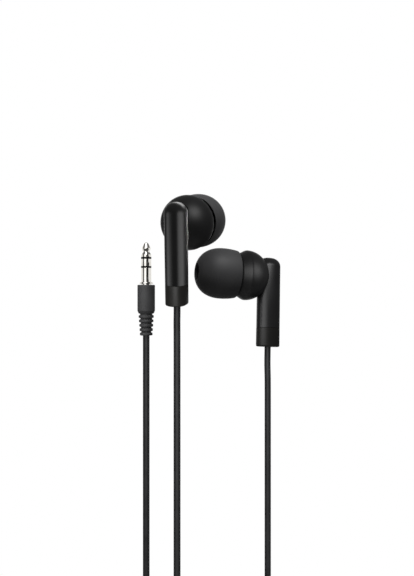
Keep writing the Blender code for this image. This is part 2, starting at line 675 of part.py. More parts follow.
def exit_points(frame):
    """Start of a lead in its strain relief and a point just outside it, in layout millimetres."""
    heights = (RELIEF_END + SOCKET_DEPTH - GAP, RELIEF_END - LEAD_D)
    worlds = [frame.matrix_world @ Vector((0, y * MM, -STEM_BACK * MM)) for y in heights]
    return [world / MM + LEFT_NOSE for world in worlds]


def below(point, drop):
    """The point that lies this far under another."""
    return (point[0], point[1], point[2] - drop)


def add_wound_cord(name, first, route, coil_start, coil, tail_route, last, diameter, tie_angle):
    """A cord in three stretches: the free lead, its coil with a tie, and the tail that goes on."""
    points, centre = coil_points(coil_start, diameter=diameter, **coil)
    lead_end = below(points[0], -GAP)
    tail_way = (Vector(points[-1]) - Vector(points[-2])).normalized()
    tail_start = Vector(points[-1]) + tail_way * GAP
    length = add_cord(name, first + route + [lead_end], diameter)
    length += add_coil(name + "_coil", points, diameter)
    length += add_cord(name + "_tail", [tail_start] + tail_route + last, diameter)
    add_tie(name + "_tie", points, centre, tie_angle, diameter)
    print(name, "in all", round(length), "mm")


def add_cable(left_bud, right_bud):
    """Both leads, the Y-split and the main lead, with the spare length of each wound up."""
    add_y_split(Y_SPLIT_TOP)
    x, y, z = Y_SPLIT_TOP
    add_wound_cord("left_lead", exit_points(left_bud), LEFT_LEAD_ROUTE, LEFT_COIL_START, LEFT_COIL,
                   LEFT_TAIL_ROUTE, [(x - Y_SPLIT_LEAD, y, z + GAP)], LEAD_D, 0)
    add_wound_cord("right_lead", exit_points(right_bud), RIGHT_LEAD_ROUTE, RIGHT_COIL_START, RIGHT_COIL,
                   RIGHT_TAIL_ROUTE, [(x + Y_SPLIT_LEAD, y, z + GAP)], LEAD_D, 180)
    boot_end = below(PLUG_PLACE, -boot_bottom())
    main_start = below(boot_end, GAP - SOCKET_DEPTH)
    add_wound_cord("main_lead", [main_start], MAIN_LEAD_ROUTE, MAIN_COIL_START, MAIN_COIL,
                   MAIN_TAIL_ROUTE, [(x, y, z - Y_SPLIT_TALL - GAP)], MAIN_D, 0)


left_bud = add_bud("left", LEFT_RING, LEFT_NOZZLE, LEFT_STEM)
right_bud = add_bud("right", RIGHT_RING, RIGHT_NOZZLE, RIGHT_STEM)
add_plug()
bpy.context.view_layer.update()
add_cable(left_bud, right_bud)
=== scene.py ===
# %% [markdown]
# Wired earphones with silicone ear tips and a 3.5 mm plug.
# The solids of the part come first. Everything made below lies on them, in metres,
# and rides the same bodies, so it moves when the joints move.

# %% Load the solids
from math import atan2, cos, pi, radians, sin, tan, tau

import bmesh
import bpy
import numpy as np
from mathutils import Matrix, Vector


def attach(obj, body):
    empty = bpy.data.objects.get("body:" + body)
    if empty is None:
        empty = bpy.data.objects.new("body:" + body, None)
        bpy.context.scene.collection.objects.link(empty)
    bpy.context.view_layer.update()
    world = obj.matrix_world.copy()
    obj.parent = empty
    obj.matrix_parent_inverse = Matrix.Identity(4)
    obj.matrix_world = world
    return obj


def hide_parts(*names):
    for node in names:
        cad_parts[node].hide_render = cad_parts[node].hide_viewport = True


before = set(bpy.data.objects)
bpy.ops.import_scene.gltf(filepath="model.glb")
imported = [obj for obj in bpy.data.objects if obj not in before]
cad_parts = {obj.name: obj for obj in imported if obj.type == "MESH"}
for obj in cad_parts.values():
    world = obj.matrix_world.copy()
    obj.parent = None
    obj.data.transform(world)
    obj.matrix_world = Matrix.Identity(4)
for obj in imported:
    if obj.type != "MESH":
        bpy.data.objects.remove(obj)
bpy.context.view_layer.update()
MM = 0.001

# %% [markdown]
# Each bud has a frame of its own: Z runs out of the nozzle, Y runs up along the stem, and the
# origin is the middle of the housing's widest ring. A turned or lofted piece is drawn once in
# that frame, in millimetres, and both buds use it.

# %% Places of the two buds and of the plug
TIP_NOSE_Z = 15.3
BUDS = {
    "left": {"ring": (-5.15, -7.5, 17.55), "nozzle": (0.37, 0.91, 0.19), "stem": (0.0, 0.205, -0.98)},
    "right": {"ring": (11.35, 7.6, 3.8), "nozzle": (-0.96, -0.26, 0.065), "stem": (-0.048, -0.14, -0.99)},
}
PLUG_PLACE = (-20.2, 26.0, 1.05)
ORIGIN = Vector(BUDS["left"]["ring"]) + Vector(BUDS["left"]["nozzle"]).normalized() * TIP_NOSE_Z


def layout(point):
    """A point of the layout, in millimetres, as metres in the part's frame."""
    return (Vector(point) - ORIGIN) * MM


def bud_matrix(ring, nozzle, stem):
    """From a bud's own millimetres to the part's metres."""
    z_axis = Vector(nozzle).normalized()
    down = Vector(stem)
    y_axis = -(down - z_axis * down.dot(z_axis)).normalized()
    turn = Matrix((y_axis.cross(z_axis), y_axis, z_axis)).transposed()
    return Matrix.Translation(layout(ring)) @ turn.to_4x4() @ Matrix.Scale(MM, 4)


BUD_FRAMES = {side: bud_matrix(**places) for side, places in BUDS.items()}
PLUG_FRAME = Matrix.Translation(layout(PLUG_PLACE)) @ Matrix.Scale(MM, 4)
print("left nose at", [round(v, 6) for v in BUD_FRAMES["left"] @ Vector((0, 0, TIP_NOSE_Z))])

# %% [markdown]
# The photograph was taken close up. At 150 mm the near bud looks larger than the plug behind it,
# in the proportion that the picture shows, so the camera stands there and looks straight ahead.
# The lens follows from how many pixels a millimetre takes at that distance.

# %% Camera
CAMERA_AWAY = 150.0
PIXELS_PER_MM = 3.53
PICTURE_TALL = 576
camera = bpy.data.objects.new("camera", bpy.data.cameras.new("camera"))
bpy.context.scene.collection.objects.link(camera)
bpy.context.scene.camera = camera
camera.location = layout((0, -CAMERA_AWAY, 0))
camera.rotation_euler = (pi / 2, 0, 0)
camera.data.sensor_fit = "VERTICAL"
half_view = PICTURE_TALL / 2 / PIXELS_PER_MM
camera.data.lens = camera.data.sensor_height / 2 * CAMERA_AWAY / half_view
camera.data.clip_start = 0.005
print("lens", round(camera.data.lens, 2), "mm")

# %% [markdown]
# Colours are written as sRGB hex values, as in a paint program. Blender's shaders work in linear
# light, so one function turns them. Another adds a node with its settings and its links, which
# keeps each material below down to the list of what it is made of.

# %% Helpers for materials


def linear(hex_colour):
    """An sRGB hex colour as linear RGBA."""
    parts = [int(hex_colour[i:i + 2], 16) / 255 for i in (1, 3, 5)]
    return [c / 12.92 if c <= 0.04045 else ((c + 0.055) / 1.055) ** 2.4 for c in parts] + [1.0]


def add_node(tree, kind, inputs=None, **settings):
    """A node with its settings; each input takes a value or the socket that feeds it."""
    made = tree.nodes.new(kind)
    for name, value in settings.items():
        setattr(made, name, value)
    for name, value in (inputs or {}).items():
        if isinstance(value, bpy.types.NodeSocket):
            tree.links.new(value, made.inputs[name])
        else:
            made.inputs[name].default_value = value
    return made


def per_metre(size_mm):
    """Texture scale that makes one cell of a pattern this many millimetres wide."""
    return 1 / (size_mm * MM)


def new_material(name, **values):
    """A material with its shader's plain values set; returns it, its tree and its shader."""
    material = bpy.data.materials.new(name)
    material.use_nodes = True
    shader = material.node_tree.nodes["Principled BSDF"]
    for socket, value in values.items():
        shader.inputs[socket.replace("_", " ")].default_value = value
    return material, material.node_tree, shader


def two_tone(tree, factor, dark, light, low=0.35, high=0.65):
    """A colour that goes from dark to light as a pattern's value passes from low to high."""
    ramp = add_node(tree, "ShaderNodeValToRGB", {"Fac": factor})
    for stop, place, colour in zip(ramp.color_ramp.elements, (low, high), (dark, light)):
        stop.position = place
        stop.color = linear(colour)
    return ramp.outputs["Color"]


print("helpers ready")

# %% [markdown]
# The jacket of a thin audio lead is an extruded elastomer. It comes out of the die smooth, with a
# satin skin that dust and handling make uneven. Two noise textures are enough at this size: a slow
# one for the sheen and a fine one for the skin. The real skin is finer than a pixel, so it is drawn
# about five times coarser.

# %% Material: extruded elastomer cord jacket


def cord_jacket():
    """Extruded elastomer: a soft broad highlight along the cord."""
    material, tree, shader = new_material("extruded_elastomer_jacket", IOR=1.5)
    place = add_node(tree, "ShaderNodeTexCoord").outputs["Object"]
    skin = add_node(tree, "ShaderNodeTexNoise", {"Vector": place, "Scale": per_metre(0.35), "Detail": 3.0})
    sheen = add_node(tree, "ShaderNodeTexNoise", {"Vector": place, "Scale": per_metre(4.0), "Detail": 2.0})
    colour = two_tone(tree, sheen.outputs["Fac"], "#29292a", "#323233")
    tree.links.new(colour, shader.inputs["Base Color"])
    rough = add_node(tree, "ShaderNodeMapRange",
                     {"Value": sheen.outputs["Fac"], "To Min": 0.38, "To Max": 0.5})
    tree.links.new(rough.outputs["Result"], shader.inputs["Roughness"])
    bump = add_node(tree, "ShaderNodeBump", {"Height": skin.outputs["Fac"], "Strength": 0.12,
                                             "Distance": 0.03 * MM})
    tree.links.new(bump.outputs["Normal"], shader.inputs["Normal"])
    return material


CORD_JACKET = cord_jacket()
print("made", CORD_JACKET.name)

# %% [markdown]
# A headset cable is about 1.2 m long. The picture shows only the top of each lead, so the rest is
# wound into coils below the frame, one on each lead, as for storage. A lead, its coil and its tail
# are one unbroken curve here, drawn with a point every millimetre or so. The route points are the
# same as those of the solids.

# %% Routes of the cords
LEAD_D = 1.85
MAIN_D = 2.2
LOOP_AIR = 0.5
LOOP_POINTS = 48
STEM_BACK = 7.5
RELIEF_END = -20.9
SOCKET_DEPTH = 1.2
CORD_SUNK = 0.9      # how far a cord's end sits inside its socket
Y_SPLIT_TOP = (8.0, 11.0, -123.0)
Y_SPLIT_LEAD = 1.15
Y_SPLIT_TALL = 11.0
BOOT_END = -16.75
LEFT_ROUTE = [(-7.98, -9.36, -9), (-7.98, -9.1, -12.5), (-7.98, -9.01, -17), (-7.98, -9.0, -23),
              (-7.98, -9.0, -40), (-7.98, -9.0, -60), (-7.98, -9.0, -80), (-7.98, -9.0, -87)]
RIGHT_ROUTE = [(17.8, 6.08, -22.5), (17.86, 5.87, -26.5), (17.87, 5.8, -32), (17.87, 5.8, -40),
               (17.87, 5.8, -60), (17.87, 5.8, -80), (17.87, 5.8, -95)]
MAIN_ROUTE = [(-20.2, 26, -19), (-20.2, 26, -28), (-20.2, 26, -55), (-20.2, 26, -85), (-20.2, 26, -112),
              (-20.2, 26, -119)]
LEFT_TAIL = [(-7.98, -6.65, -98.5), (-7.98, -6.5, -102.5), (-7.7, -5.4, -107), (-6.5, -2.4, -111.2),
             (-3.6, 2.2, -114.6), (0.6, 6.6, -116.6), (4.6, 9.8, -118.4), (6.6, 11.0, -120.8)]
RIGHT_TAIL = [(17.87, 8.15, -105.5), (17.65, 8.3, -109.5), (16.45, 8.95, -113.3), (13.7, 10.1, -116.6),
              (11.1, 10.9, -119.2), (9.4, 11.0, -121.3)]
MAIN_TAIL = [(0.2, 17.9, -141.37), (3.0, 16.9, -141.2), (5.7, 14.5, -140.3), (7.5, 12.2, -138.6),
             (8.0, 11.05, -136.4)]
LEFT_COIL = {"start": (-7.98, -9.0, -93.5), "inner_r": 7.65, "turns": 4.0, "layers": 2, "spin": 1,
             "depth_sign": 1, "diameter": LEAD_D}
RIGHT_COIL = {"start": (17.87, 5.8, -100.5), "inner_r": 8.4, "turns": 4.0, "layers": 2, "spin": -1,
              "depth_sign": 1, "diameter": LEAD_D}
MAIN_COIL = {"start": (-20.2, 26.0, -126.0), "inner_r": 9.8, "turns": 8.25, "layers": 4, "spin": 1,
             "depth_sign": -1, "diameter": MAIN_D}


def climb_share(turns_past):
    """How much of a layer's climb is done, over the half turn round the reversal."""
    share = min(max((turns_past + 0.25) / 0.5, 0), 1)
    return share * share * (3 - 2 * share)


def coil_points(start, inner_r, turns, layers, spin, depth_sign, diameter):
    """Turns of a hanging coil that starts at its side and spirals in and out, a layer at a time."""
    pitch = diameter + LOOP_AIR
    per_layer = turns / layers
    centre_x = start[0] + spin * (inner_r + pitch * per_layer)
    points = []
    count = round(turns * LOOP_POINTS)
    for i in range(count + 1):
        t = turns * i / count
        layer = min(int(t / per_layer), layers - 1)
        along = t / per_layer - layer
        radius = inner_r + pitch * per_layer * (along if layer % 2 else 1 - along)
        climbs = sum(climb_share(t - k * per_layer) for k in range(1, layers))
        angle = pi + tau * t
        points.append(Vector((centre_x + spin * radius * cos(angle), start[1] + depth_sign * pitch * climbs,
                              start[2] + radius * sin(angle))))
    return points


def smooth_route(points, step=1.0):
    """Points about a millimetre apart on a smooth curve through a cord's route points."""
    knots = [Vector(p) for p in points]
    knots = [knots[0] * 2 - knots[1]] + knots + [knots[-1] * 2 - knots[-2]]
    fine = []
    for a, b, c, d in zip(knots, knots[1:], knots[2:], knots[3:]):
        count = max(2, round((c - b).length / step))
        for t in np.linspace(0, 1, count, endpoint=False):
            fine.append(0.5 * (2 * b + (c - a) * t + (2 * a - 5 * b + 4 * c - d) * t * t
                               + (3 * b - a - 3 * c + d) * t ** 3))
    return fine + [knots[-2]]


coil = coil_points(**MAIN_COIL)
print("main coil:", len(coil), "points, ends at", [round(v, 1) for v in coil[-1]])

# %% [markdown]
# A curve with a round bevel is the natural form for a cord: it keeps its thickness through every
# bend. A swept mesh would look the same, but its route would be harder to change. One end of each
# cord sits in a socket and the other meets the splitter, so that no cut end shows.

# %% Draw the cords


def stem_point(side, height):
    """A point on a stem's axis, in layout millimetres."""
    return (BUD_FRAMES[side] @ Vector((0, height, -STEM_BACK))) / MM + ORIGIN


def draw_cord(name, points, diameter, nodes):
    """One unbroken cord, riding the headset, in place of the solids of its stretches."""
    curve = bpy.data.curves.new(name, "CURVE")
    curve.dimensions = "3D"
    curve.bevel_depth = diameter / 2 * MM
    curve.bevel_resolution = 6
    curve.use_fill_caps = True
    spline = curve.splines.new("POLY")
    spline.points.add(len(points) - 1)
    for point, place in zip(spline.points, points):
        point.co = (*layout(place), 1)
    spline.use_smooth = True
    cord = bpy.data.objects.new(name, curve)
    bpy.context.scene.collection.objects.link(cord)
    curve.materials.append(CORD_JACKET)
    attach(cord, "headset")
    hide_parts(*nodes)
    length = sum((b - a).length for a, b in zip(points, points[1:]))
    print(name, len(points), "points,", round(length), "mm long")
    return cord, length * MM


def stretches(name):
    """The solids that one cord stands for."""
    return [name, name + "_coil", name + "_tail"]


def lead_points(side, route, coil, tail):
    """A lead from its strain relief, through its coil, to the Y-split."""
    start = [stem_point(side, RELIEF_END + CORD_SUNK), stem_point(side, RELIEF_END - LEAD_D)]
    turns = coil_points(**coil)
    x, y, z = Y_SPLIT_TOP
    across = Y_SPLIT_LEAD if side == "right" else -Y_SPLIT_LEAD
    free = smooth_route(start + route + [turns[0]])
    return free[:-1] + turns + smooth_route([turns[-1]] + tail + [(x + across, y, z)])[1:]


left_points = lead_points("left", LEFT_ROUTE, LEFT_COIL, LEFT_TAIL)
right_points = lead_points("right", RIGHT_ROUTE, RIGHT_COIL, RIGHT_TAIL)
left_cord, left_length = draw_cord("left_lead_cord", left_points, LEAD_D, stretches("left_lead"))
right_cord, right_length = draw_cord("right_lead_cord", right_points, LEAD_D, stretches("right_lead"))
x, y, z = Y_SPLIT_TOP
split_foot = (x, y, z - Y_SPLIT_TALL)
boot_x, boot_y, boot_z = PLUG_PLACE
turns = coil_points(**MAIN_COIL)
plug_to_coil = smooth_route([(boot_x, boot_y, boot_z + BOOT_END + CORD_SUNK)] + MAIN_ROUTE + [turns[0]])
coil_to_split = smooth_route([turns[-1]] + MAIN_TAIL + [split_foot])
main_points = list(reversed(plug_to_coil[:-1] + turns + coil_to_split[1:]))
main_cord, main_length = draw_cord("main_lead_cord", main_points, MAIN_D, stretches("main_lead"))

# %% [markdown]
# Most pieces of an earphone are round, so most of them are turned here as on a lathe: a profile of
# (radius, height) points is swept once round the nozzle's axis. Moulded edges are never knife
# sharp. The corner points below carry a fillet radius, and the fillets are what catch the light.

# %% Helpers for turned and skinned pieces


def rounded(corners, closed=True, steps=5):
    """A profile whose corners, given as (x, y, fillet), are replaced by arcs."""
    outline = []
    count = len(corners)
    for k, (x, y, fillet) in enumerate(corners):
        ends = not closed and k in (0, count - 1)
        if ends or not fillet:
            outline.append((x, y))
            continue
        here = Vector((x, y))
        back = (Vector(corners[k - 1][:2]) - here).normalized()
        ahead = (Vector(corners[(k + 1) % count][:2]) - here).normalized()
        half = back.angle(ahead) / 2
        centre = here + (back + ahead).normalized() * fillet / sin(half)
        first = here + back * fillet / tan(half) - centre
        last = here + ahead * fillet / tan(half) - centre
        start = atan2(first.y, first.x)
        sweep = (atan2(last.y, last.x) - start + pi) % tau - pi
        for t in np.linspace(0, 1, steps + 1):
            angle = start + sweep * t
            outline.append((centre.x + fillet * cos(angle), centre.y + fillet * sin(angle)))
    return outline


def add_piece(name, bm, matrix, material, body, nodes, sharp=38):
    """A mesh in its own millimetres becomes a smooth-shaded piece that rides a body."""
    bmesh.ops.transform(bm, matrix=matrix, verts=bm.verts)
    bmesh.ops.remove_doubles(bm, verts=bm.verts, dist=2e-8)
    bmesh.ops.dissolve_degenerate(bm, edges=bm.edges, dist=1e-8)
    bmesh.ops.recalc_face_normals(bm, faces=bm.faces)
    mesh = bpy.data.meshes.new(name)
    bm.to_mesh(mesh)
    bm.free()
    mesh.shade_smooth()
    mesh.set_sharp_from_angle(angle=radians(sharp))
    mesh.materials.append(material)
    piece = bpy.data.objects.new(name, mesh)
    bpy.context.scene.collection.objects.link(piece)
    if body:
        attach(piece, body)
        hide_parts(*nodes)
        print(name, len(mesh.polygons), "faces on", body)
    return piece


def turned_mesh(profile, steps=96):
    """Sweep a closed profile of (radius, height) once round Z."""
    bm = bmesh.new()
    points = [bm.verts.new((max(r, 0), 0, z)) for r, z in profile]
    edges = [bm.edges.new(pair) for pair in zip(points, points[1:] + points[:1])]
    bmesh.ops.spin(bm, geom=points + edges, cent=(0, 0, 0), axis=(0, 0, 1), angle=tau, steps=steps,
                   use_merge=True)
    return bm


def skin_rows(bm, rows, closed=True):
    """Faces between rows of points; each row may close on itself. Returns the points made."""
    grid = [[bm.verts.new(point) for point in row] for row in rows]
    for low, high in zip(grid, grid[1:]):
        span = len(low) if closed else len(low) - 1
        for i in range(span):
            j = (i + 1) % len(low)
            bm.faces.new((low[i], low[j], high[j], high[i]))
    return grid


print("a filleted corner has", len(rounded([(0, 0, 0), (1, 0, 0.2), (1, 1, 0)])), "points in all")

# %% [markdown]
# Moulded plastics and rubbers share one build: a base colour that drifts a little, a fine grain from
# the tool's eroded surface, and a roughness that follows both. What differs is how coarse the grain
# is and how much the surface shines. True spark-eroded grain is about 0.05 mm, too fine for a pixel
# here, so it is drawn three to five times coarser.

# %% Materials: moulded plastics and rubbers


def moulded(name, dark, light, rough, grain_mm, grain_deep, drift_mm=5.0, uneven=0.06, **values):
    """A moulded surface with its grain, tone drift and uneven sheen."""
    material, tree, shader = new_material(name, **values)
    place = add_node(tree, "ShaderNodeTexCoord").outputs["Object"]
    grain = add_node(tree, "ShaderNodeTexNoise",
                     {"Vector": place, "Scale": per_metre(grain_mm), "Detail": 2.0})
    drift = add_node(tree, "ShaderNodeTexNoise",
                     {"Vector": place, "Scale": per_metre(drift_mm), "Detail": 3.0})
    colour = two_tone(tree, drift.outputs["Fac"], dark, light)
    tree.links.new(colour, shader.inputs["Base Color"])
    mixed = add_node(tree, "ShaderNodeMath", {0: grain.outputs["Fac"], 1: drift.outputs["Fac"]},
                     operation="ADD")
    sheen = add_node(tree, "ShaderNodeMapRange", {"Value": mixed.outputs[0], "From Min": 0.6, "From Max": 1.4,
                                                  "To Min": rough - uneven, "To Max": rough + uneven})
    tree.links.new(sheen.outputs["Result"], shader.inputs["Roughness"])
    bump = add_node(tree, "ShaderNodeBump", {"Height": grain.outputs["Fac"], "Strength": 1.0,
                                             "Distance": grain_deep * MM})
    tree.links.new(bump.outputs["Normal"], shader.inputs["Normal"])
    return material


# ABS from a lightly textured tool: clear but soft-edged reflections along the stem
SATIN_ABS = moulded("satin_moulded_abs", "#161617", "#1a1a1b", 0.3, 0.2, 0.0004, uneven=0.012, IOR=1.53)
# ABS from a matt tool: reflections spread into a broad glow on the round housing
MATTE_ABS = moulded("matt_moulded_abs", "#0e0e0f", "#121213", 0.46, 0.16, 0.003, IOR=1.53)
# Liquid silicone rubber: almost no mirror image, and a dusty skin
SILICONE = moulded("moulded_silicone", "#3c3c3d", "#424243", 0.6, 0.22, 0.008, IOR=1.42)
# Elastomer collar, a warmer black than the stem
RELIEF_TPE = moulded("moulded_elastomer_collar", "#1d1c1a", "#22211e", 0.45, 0.2, 0.004, IOR=1.5)
# Elastomer boot with the coarse grain of a grip
BOOT_TPE = moulded("grained_elastomer_boot", "#3a3a3b", "#434344", 0.6, 0.28, 0.016, IOR=1.5)
# Nylon rings that keep the plug's contacts apart
INSULATOR = moulded("moulded_nylon_ring", "#0b0b0b", "#111111", 0.4, 0.15, 0.002, IOR=1.53)
# Soft tie strap
TIE_RUBBER = moulded("moulded_rubber_tie", "#202021", "#28282a", 0.6, 0.25, 0.008, IOR=1.48)
# Glass-filled frame of the driver
DRIVER_PLASTIC = moulded("glass_filled_frame", "#262628", "#38383a", 0.5, 0.2, 0.006, drift_mm=0.8, IOR=1.55)
print("moulded materials ready, the last is", DRIVER_PLASTIC.name)

# %% [markdown]
# The housing is two mouldings that snap together at the widest ring. The front one narrows in a
# rounded taper to the nozzle, and the nozzle ends in a lip that keeps the ear tip on. It is turned
# from one filleted outline, inside and outside, so the bore and the spigot are real too.

# %% Front shells
TAPER = [(7.418, 0.005, 0.0), (7.4, 0.25, 1.2), (7.23, 0.7, 1.5), (6.93, 1.25, 1.5), (6.61, 1.8, 1.5),
         (6.24, 2.4, 1.2), (5.87, 2.85, 0.4), (5.35, 3.0, 0.4)]
NOZZLE = [(2.75, 3.0, 0.2), (2.75, 7.0, 0.3), (3.05, 7.3, 0.15), (3.05, 7.8, 0.2), (2.75, 8.2, 0.15)]
BORE_AND_SPIGOT = [(2.0, 8.2, 0.1), (2.0, 1.5, 0.1), (5.45, 1.5, 0.2), (5.45, -1.6, 0.1), (5.95, -1.6, 0.12),
                   (5.95, 0.005, 0.0)]
FRONT_OUTLINE = TAPER + NOZZLE + BORE_AND_SPIGOT
for side, place in BUD_FRAMES.items():
    add_piece(side + "_front_shell_visual", turned_mesh(rounded(FRONT_OUTLINE)), place, MATTE_ABS, "headset",
              [side + "_front_shell"])

# %% [markdown]
# The stem is a tube with a softly squared section that runs up behind the cup and ends in an arch.
# Drawn as arches it takes few numbers: each point of half the section runs up one side, over a half
# circle and down the other. The cup's dome is cut by the same shape, a hair wider, so the stem sits
# in its slot as the two mouldings do.

# %% Stem section and rear cups
HOUSING_R = 7.42
CUP_DEPTH = 7.0
CUP_WALL = 0.8
STEM_HALF_WIDE = 2.8
STEM_HALF_DEEP = 3.45
STEM_FULLNESS = 2.4   # superellipse power of the section
STEM_TOP = 5.87
STEM_END = -15.38
STEM_WALL = 0.8
SLOT_AIR = 0.05
SLOT_FOOT = -12.0     # below the cup, so that the cut runs through
CUP_STRAIGHT = 0.1    # upright stretch of the cup's wall beside the joint


def section_point(angle, inset):
    """A point of the stem's section, as (across, along the nozzle)."""
    power = 2 / STEM_FULLNESS
    across = (STEM_HALF_WIDE - inset) * abs(cos(angle)) ** power * np.sign(cos(angle))
    along = (STEM_HALF_DEEP - inset) * abs(sin(angle)) ** power * np.sign(sin(angle))
    return float(across), float(along) - STEM_BACK


def arched_rows(inset, foot, foot_inset=0.0, steps=40):
    """The stem's surface as arches, from its rear line round to its front line."""
    crown = STEM_TOP - STEM_HALF_WIDE
    turns = np.linspace(0, pi, steps + 1)
    rows = []
    for angle in np.linspace(-pi / 2, pi / 2, steps + 1):
        x, z = section_point(angle, inset)
        low_x, low_z = section_point(angle, inset + foot_inset)
        side_up = [(low_x, foot, low_z), (x, foot + foot_inset, z)]
        side_down = [(-x, foot + foot_inset, z), (-low_x, foot, low_z)]
        rows.append(side_up + [(x * cos(b), crown + x * sin(b), z) for b in turns] + side_down)
    return rows


def foot_outline(grid):
    """The points of an arched surface's lower edge, once round."""
    return [row[0] for row in grid] + [row[-1] for row in reversed(grid)]


def cut_out(piece, cutter):
    """Take the cutter's space out of a piece for good, and drop the cutter."""
    boolean = piece.modifiers.new("cut", "BOOLEAN")
    boolean.object = cutter
    boolean.solver = "EXACT"
    bpy.context.view_layer.update()
    result = bpy.data.meshes.new_from_object(piece.evaluated_get(bpy.context.evaluated_depsgraph_get()))
    piece.modifiers.clear()
    piece.data = result
    bpy.data.objects.remove(cutter)
    return len(result.polygons)


def cup_profile():
    """Dome outside and inside, with the edge at the parting line slightly broken."""
    turns = np.linspace(0, pi / 2, 28)
    rise = CUP_DEPTH - CUP_STRAIGHT
    inner_r = HOUSING_R - CUP_WALL
    outside = [(HOUSING_R * cos(a), -CUP_STRAIGHT - rise * sin(a)) for a in turns[1:]]
    inside = [(inner_r * cos(a), -CUP_STRAIGHT - (rise - CUP_WALL) * sin(a)) for a in turns]
    edge = [(HOUSING_R - 0.01, -0.005), (HOUSING_R - 0.002, -0.015), (HOUSING_R, -CUP_STRAIGHT)]
    return list(reversed(inside)) + edge + outside


for side, place in BUD_FRAMES.items():
    cup = add_piece(side + "_rear_cup_visual", turned_mesh(cup_profile()), place, MATTE_ABS, "headset",
                    [side + "_rear_cup"])
    bm = bmesh.new()
    bm.faces.new(foot_outline(skin_rows(bm, arched_rows(-SLOT_AIR, SLOT_FOOT), closed=False)))
    slot = add_piece(side + "_slot_cutter", bm, place, MATTE_ABS, None, None)
    print(side, "cup with its slot:", cut_out(cup, slot), "faces")

# %% [markdown]
# The stem is a shell, because the lead runs up inside it. The same arches are drawn twice, the second
# time drawn in by the wall, and one ring of faces joins the two skins at the open foot. A solidify
# modifier would give much the same, but this way only the outer edge of the foot is broken.

# %% Stem shells
STEM_EDGE = 0.05      # how far the stem's lower edge is broken
for side, place in BUD_FRAMES.items():
    bm = bmesh.new()
    outer = foot_outline(skin_rows(bm, arched_rows(0.0, STEM_END, foot_inset=STEM_EDGE), closed=False))
    inner = foot_outline(skin_rows(bm, arched_rows(STEM_WALL, STEM_END), closed=False))
    for corners in zip(outer, outer[1:] + outer[:1], inner[1:] + inner[:1], inner):
        bm.faces.new(corners)
    add_piece(side + "_stem_shell_visual", bm, place, SATIN_ABS, "headset",
              [side + "_stem_shell"])

# %% [markdown]
# Below the stem sits the strain relief, a collar of softer elastomer over the lead. It has the stem's
# section, a fine groove where the two meet, and a rounded lower edge. Its foot dips to a round
# socket, from which the lead comes out. A lathe can't turn a squared section, so loops drawn at each
# height are skinned instead.

# %% Strain reliefs
RELIEF_TOP = -15.4
RELIEF_EDGE = 0.05
RELIEF_FOOT = 0.45
SPIGOT_UP = 2.5
SPIGOT_AIR = 0.15
LEAD_HOLE_R = 0.9
SOCKET_AIR = 0.12
SOCKET_EDGE = 0.2
SECTION_STEPS = 80


def section_loop(height, inset):
    """The stem's section at a height, drawn in by an inset."""
    points = [section_point(tau * i / SECTION_STEPS, inset) for i in range(SECTION_STEPS)]
    return [(x, height, z) for x, z in points]


def round_loop(height, radius):
    """A circle on the stem's axis."""
    angles = [tau * i / SECTION_STEPS for i in range(SECTION_STEPS)]
    return [(radius * cos(a), height, radius * sin(a) - STEM_BACK) for a in angles]


def relief_rows():
    """Spigot, groove, collar, rounded foot and the lead's socket, from the top down."""
    spigot = STEM_WALL + SPIGOT_AIR
    spigot_top = STEM_END + SPIGOT_UP
    rows = [round_loop(spigot_top, LEAD_HOLE_R), section_loop(spigot_top, spigot)]
    rows += [section_loop(RELIEF_TOP, spigot), section_loop(RELIEF_TOP, RELIEF_EDGE)]
    rows += [section_loop(RELIEF_TOP - RELIEF_EDGE, 0.0)]
    for bend in np.linspace(0, pi / 2, 7):
        height = RELIEF_END + RELIEF_FOOT * (1 - sin(bend))
        rows.append(section_loop(height, RELIEF_FOOT * (1 - cos(bend))))
    socket = LEAD_D / 2 + SOCKET_AIR
    socket_top = RELIEF_END + SOCKET_DEPTH
    rows += [round_loop(RELIEF_END, socket + SOCKET_EDGE), round_loop(RELIEF_END + SOCKET_EDGE, socket)]
    rows += [round_loop(socket_top, socket), round_loop(socket_top, LEAD_HOLE_R)]
    return rows + [rows[0]]


for side, place in BUD_FRAMES.items():
    bm = bmesh.new()
    skin_rows(bm, relief_rows())
    add_piece(side + "_strain_relief_visual", bm, place, RELIEF_TPE, "headset",
              [side + "_strain_relief"])

# %% [markdown]
# The ear tip is one piece of silicone: a thin dome that turns in at the nose and runs back inside as
# a core that grips the nozzle. The dome is a superellipse, fuller than a sphere at its shoulder. One
# closed profile, turned once, makes it hollow without a modifier. It rides its own body, because it
# pulls off.

# %% Ear tips
TIP_R = 7.43
TIP_RING_Z = 7.2
TIP_FULLNESS = 2.3
TIP_SKIN = 0.5
TIP_BORE_R = 2.3
TIP_MOUTH_R = 2.75    # where the dome turns in to the bore
TIP_HOLLOW_R = 4.5    # where the hollow under the dome turns down to the core
MOUTH_BEND = [(0.0, 0.5), (0.01, 0.34), (0.06, 0.18), (0.16, 0.07), (0.3, 0.01)]   # out, and below the dome


def dome_height(radius, top, rim_r):
    """Height of the tip's dome at a radius."""
    share = max(1 - (radius / rim_r) ** TIP_FULLNESS, 0)
    return TIP_RING_Z + (top - TIP_RING_Z) * share ** (1 / TIP_FULLNESS)


def dome_arc(rim_r, top, least_r, count):
    """Points of the dome from a radius near the bore to its widest ring."""
    last = (1 - (least_r / rim_r) ** TIP_FULLNESS) ** 0.5
    shares = np.linspace(last, 0, count)
    radii = [rim_r * (1 - s * s) ** (1 / TIP_FULLNESS) for s in shares]
    return [(r, dome_height(r, top, rim_r)) for r in radii]


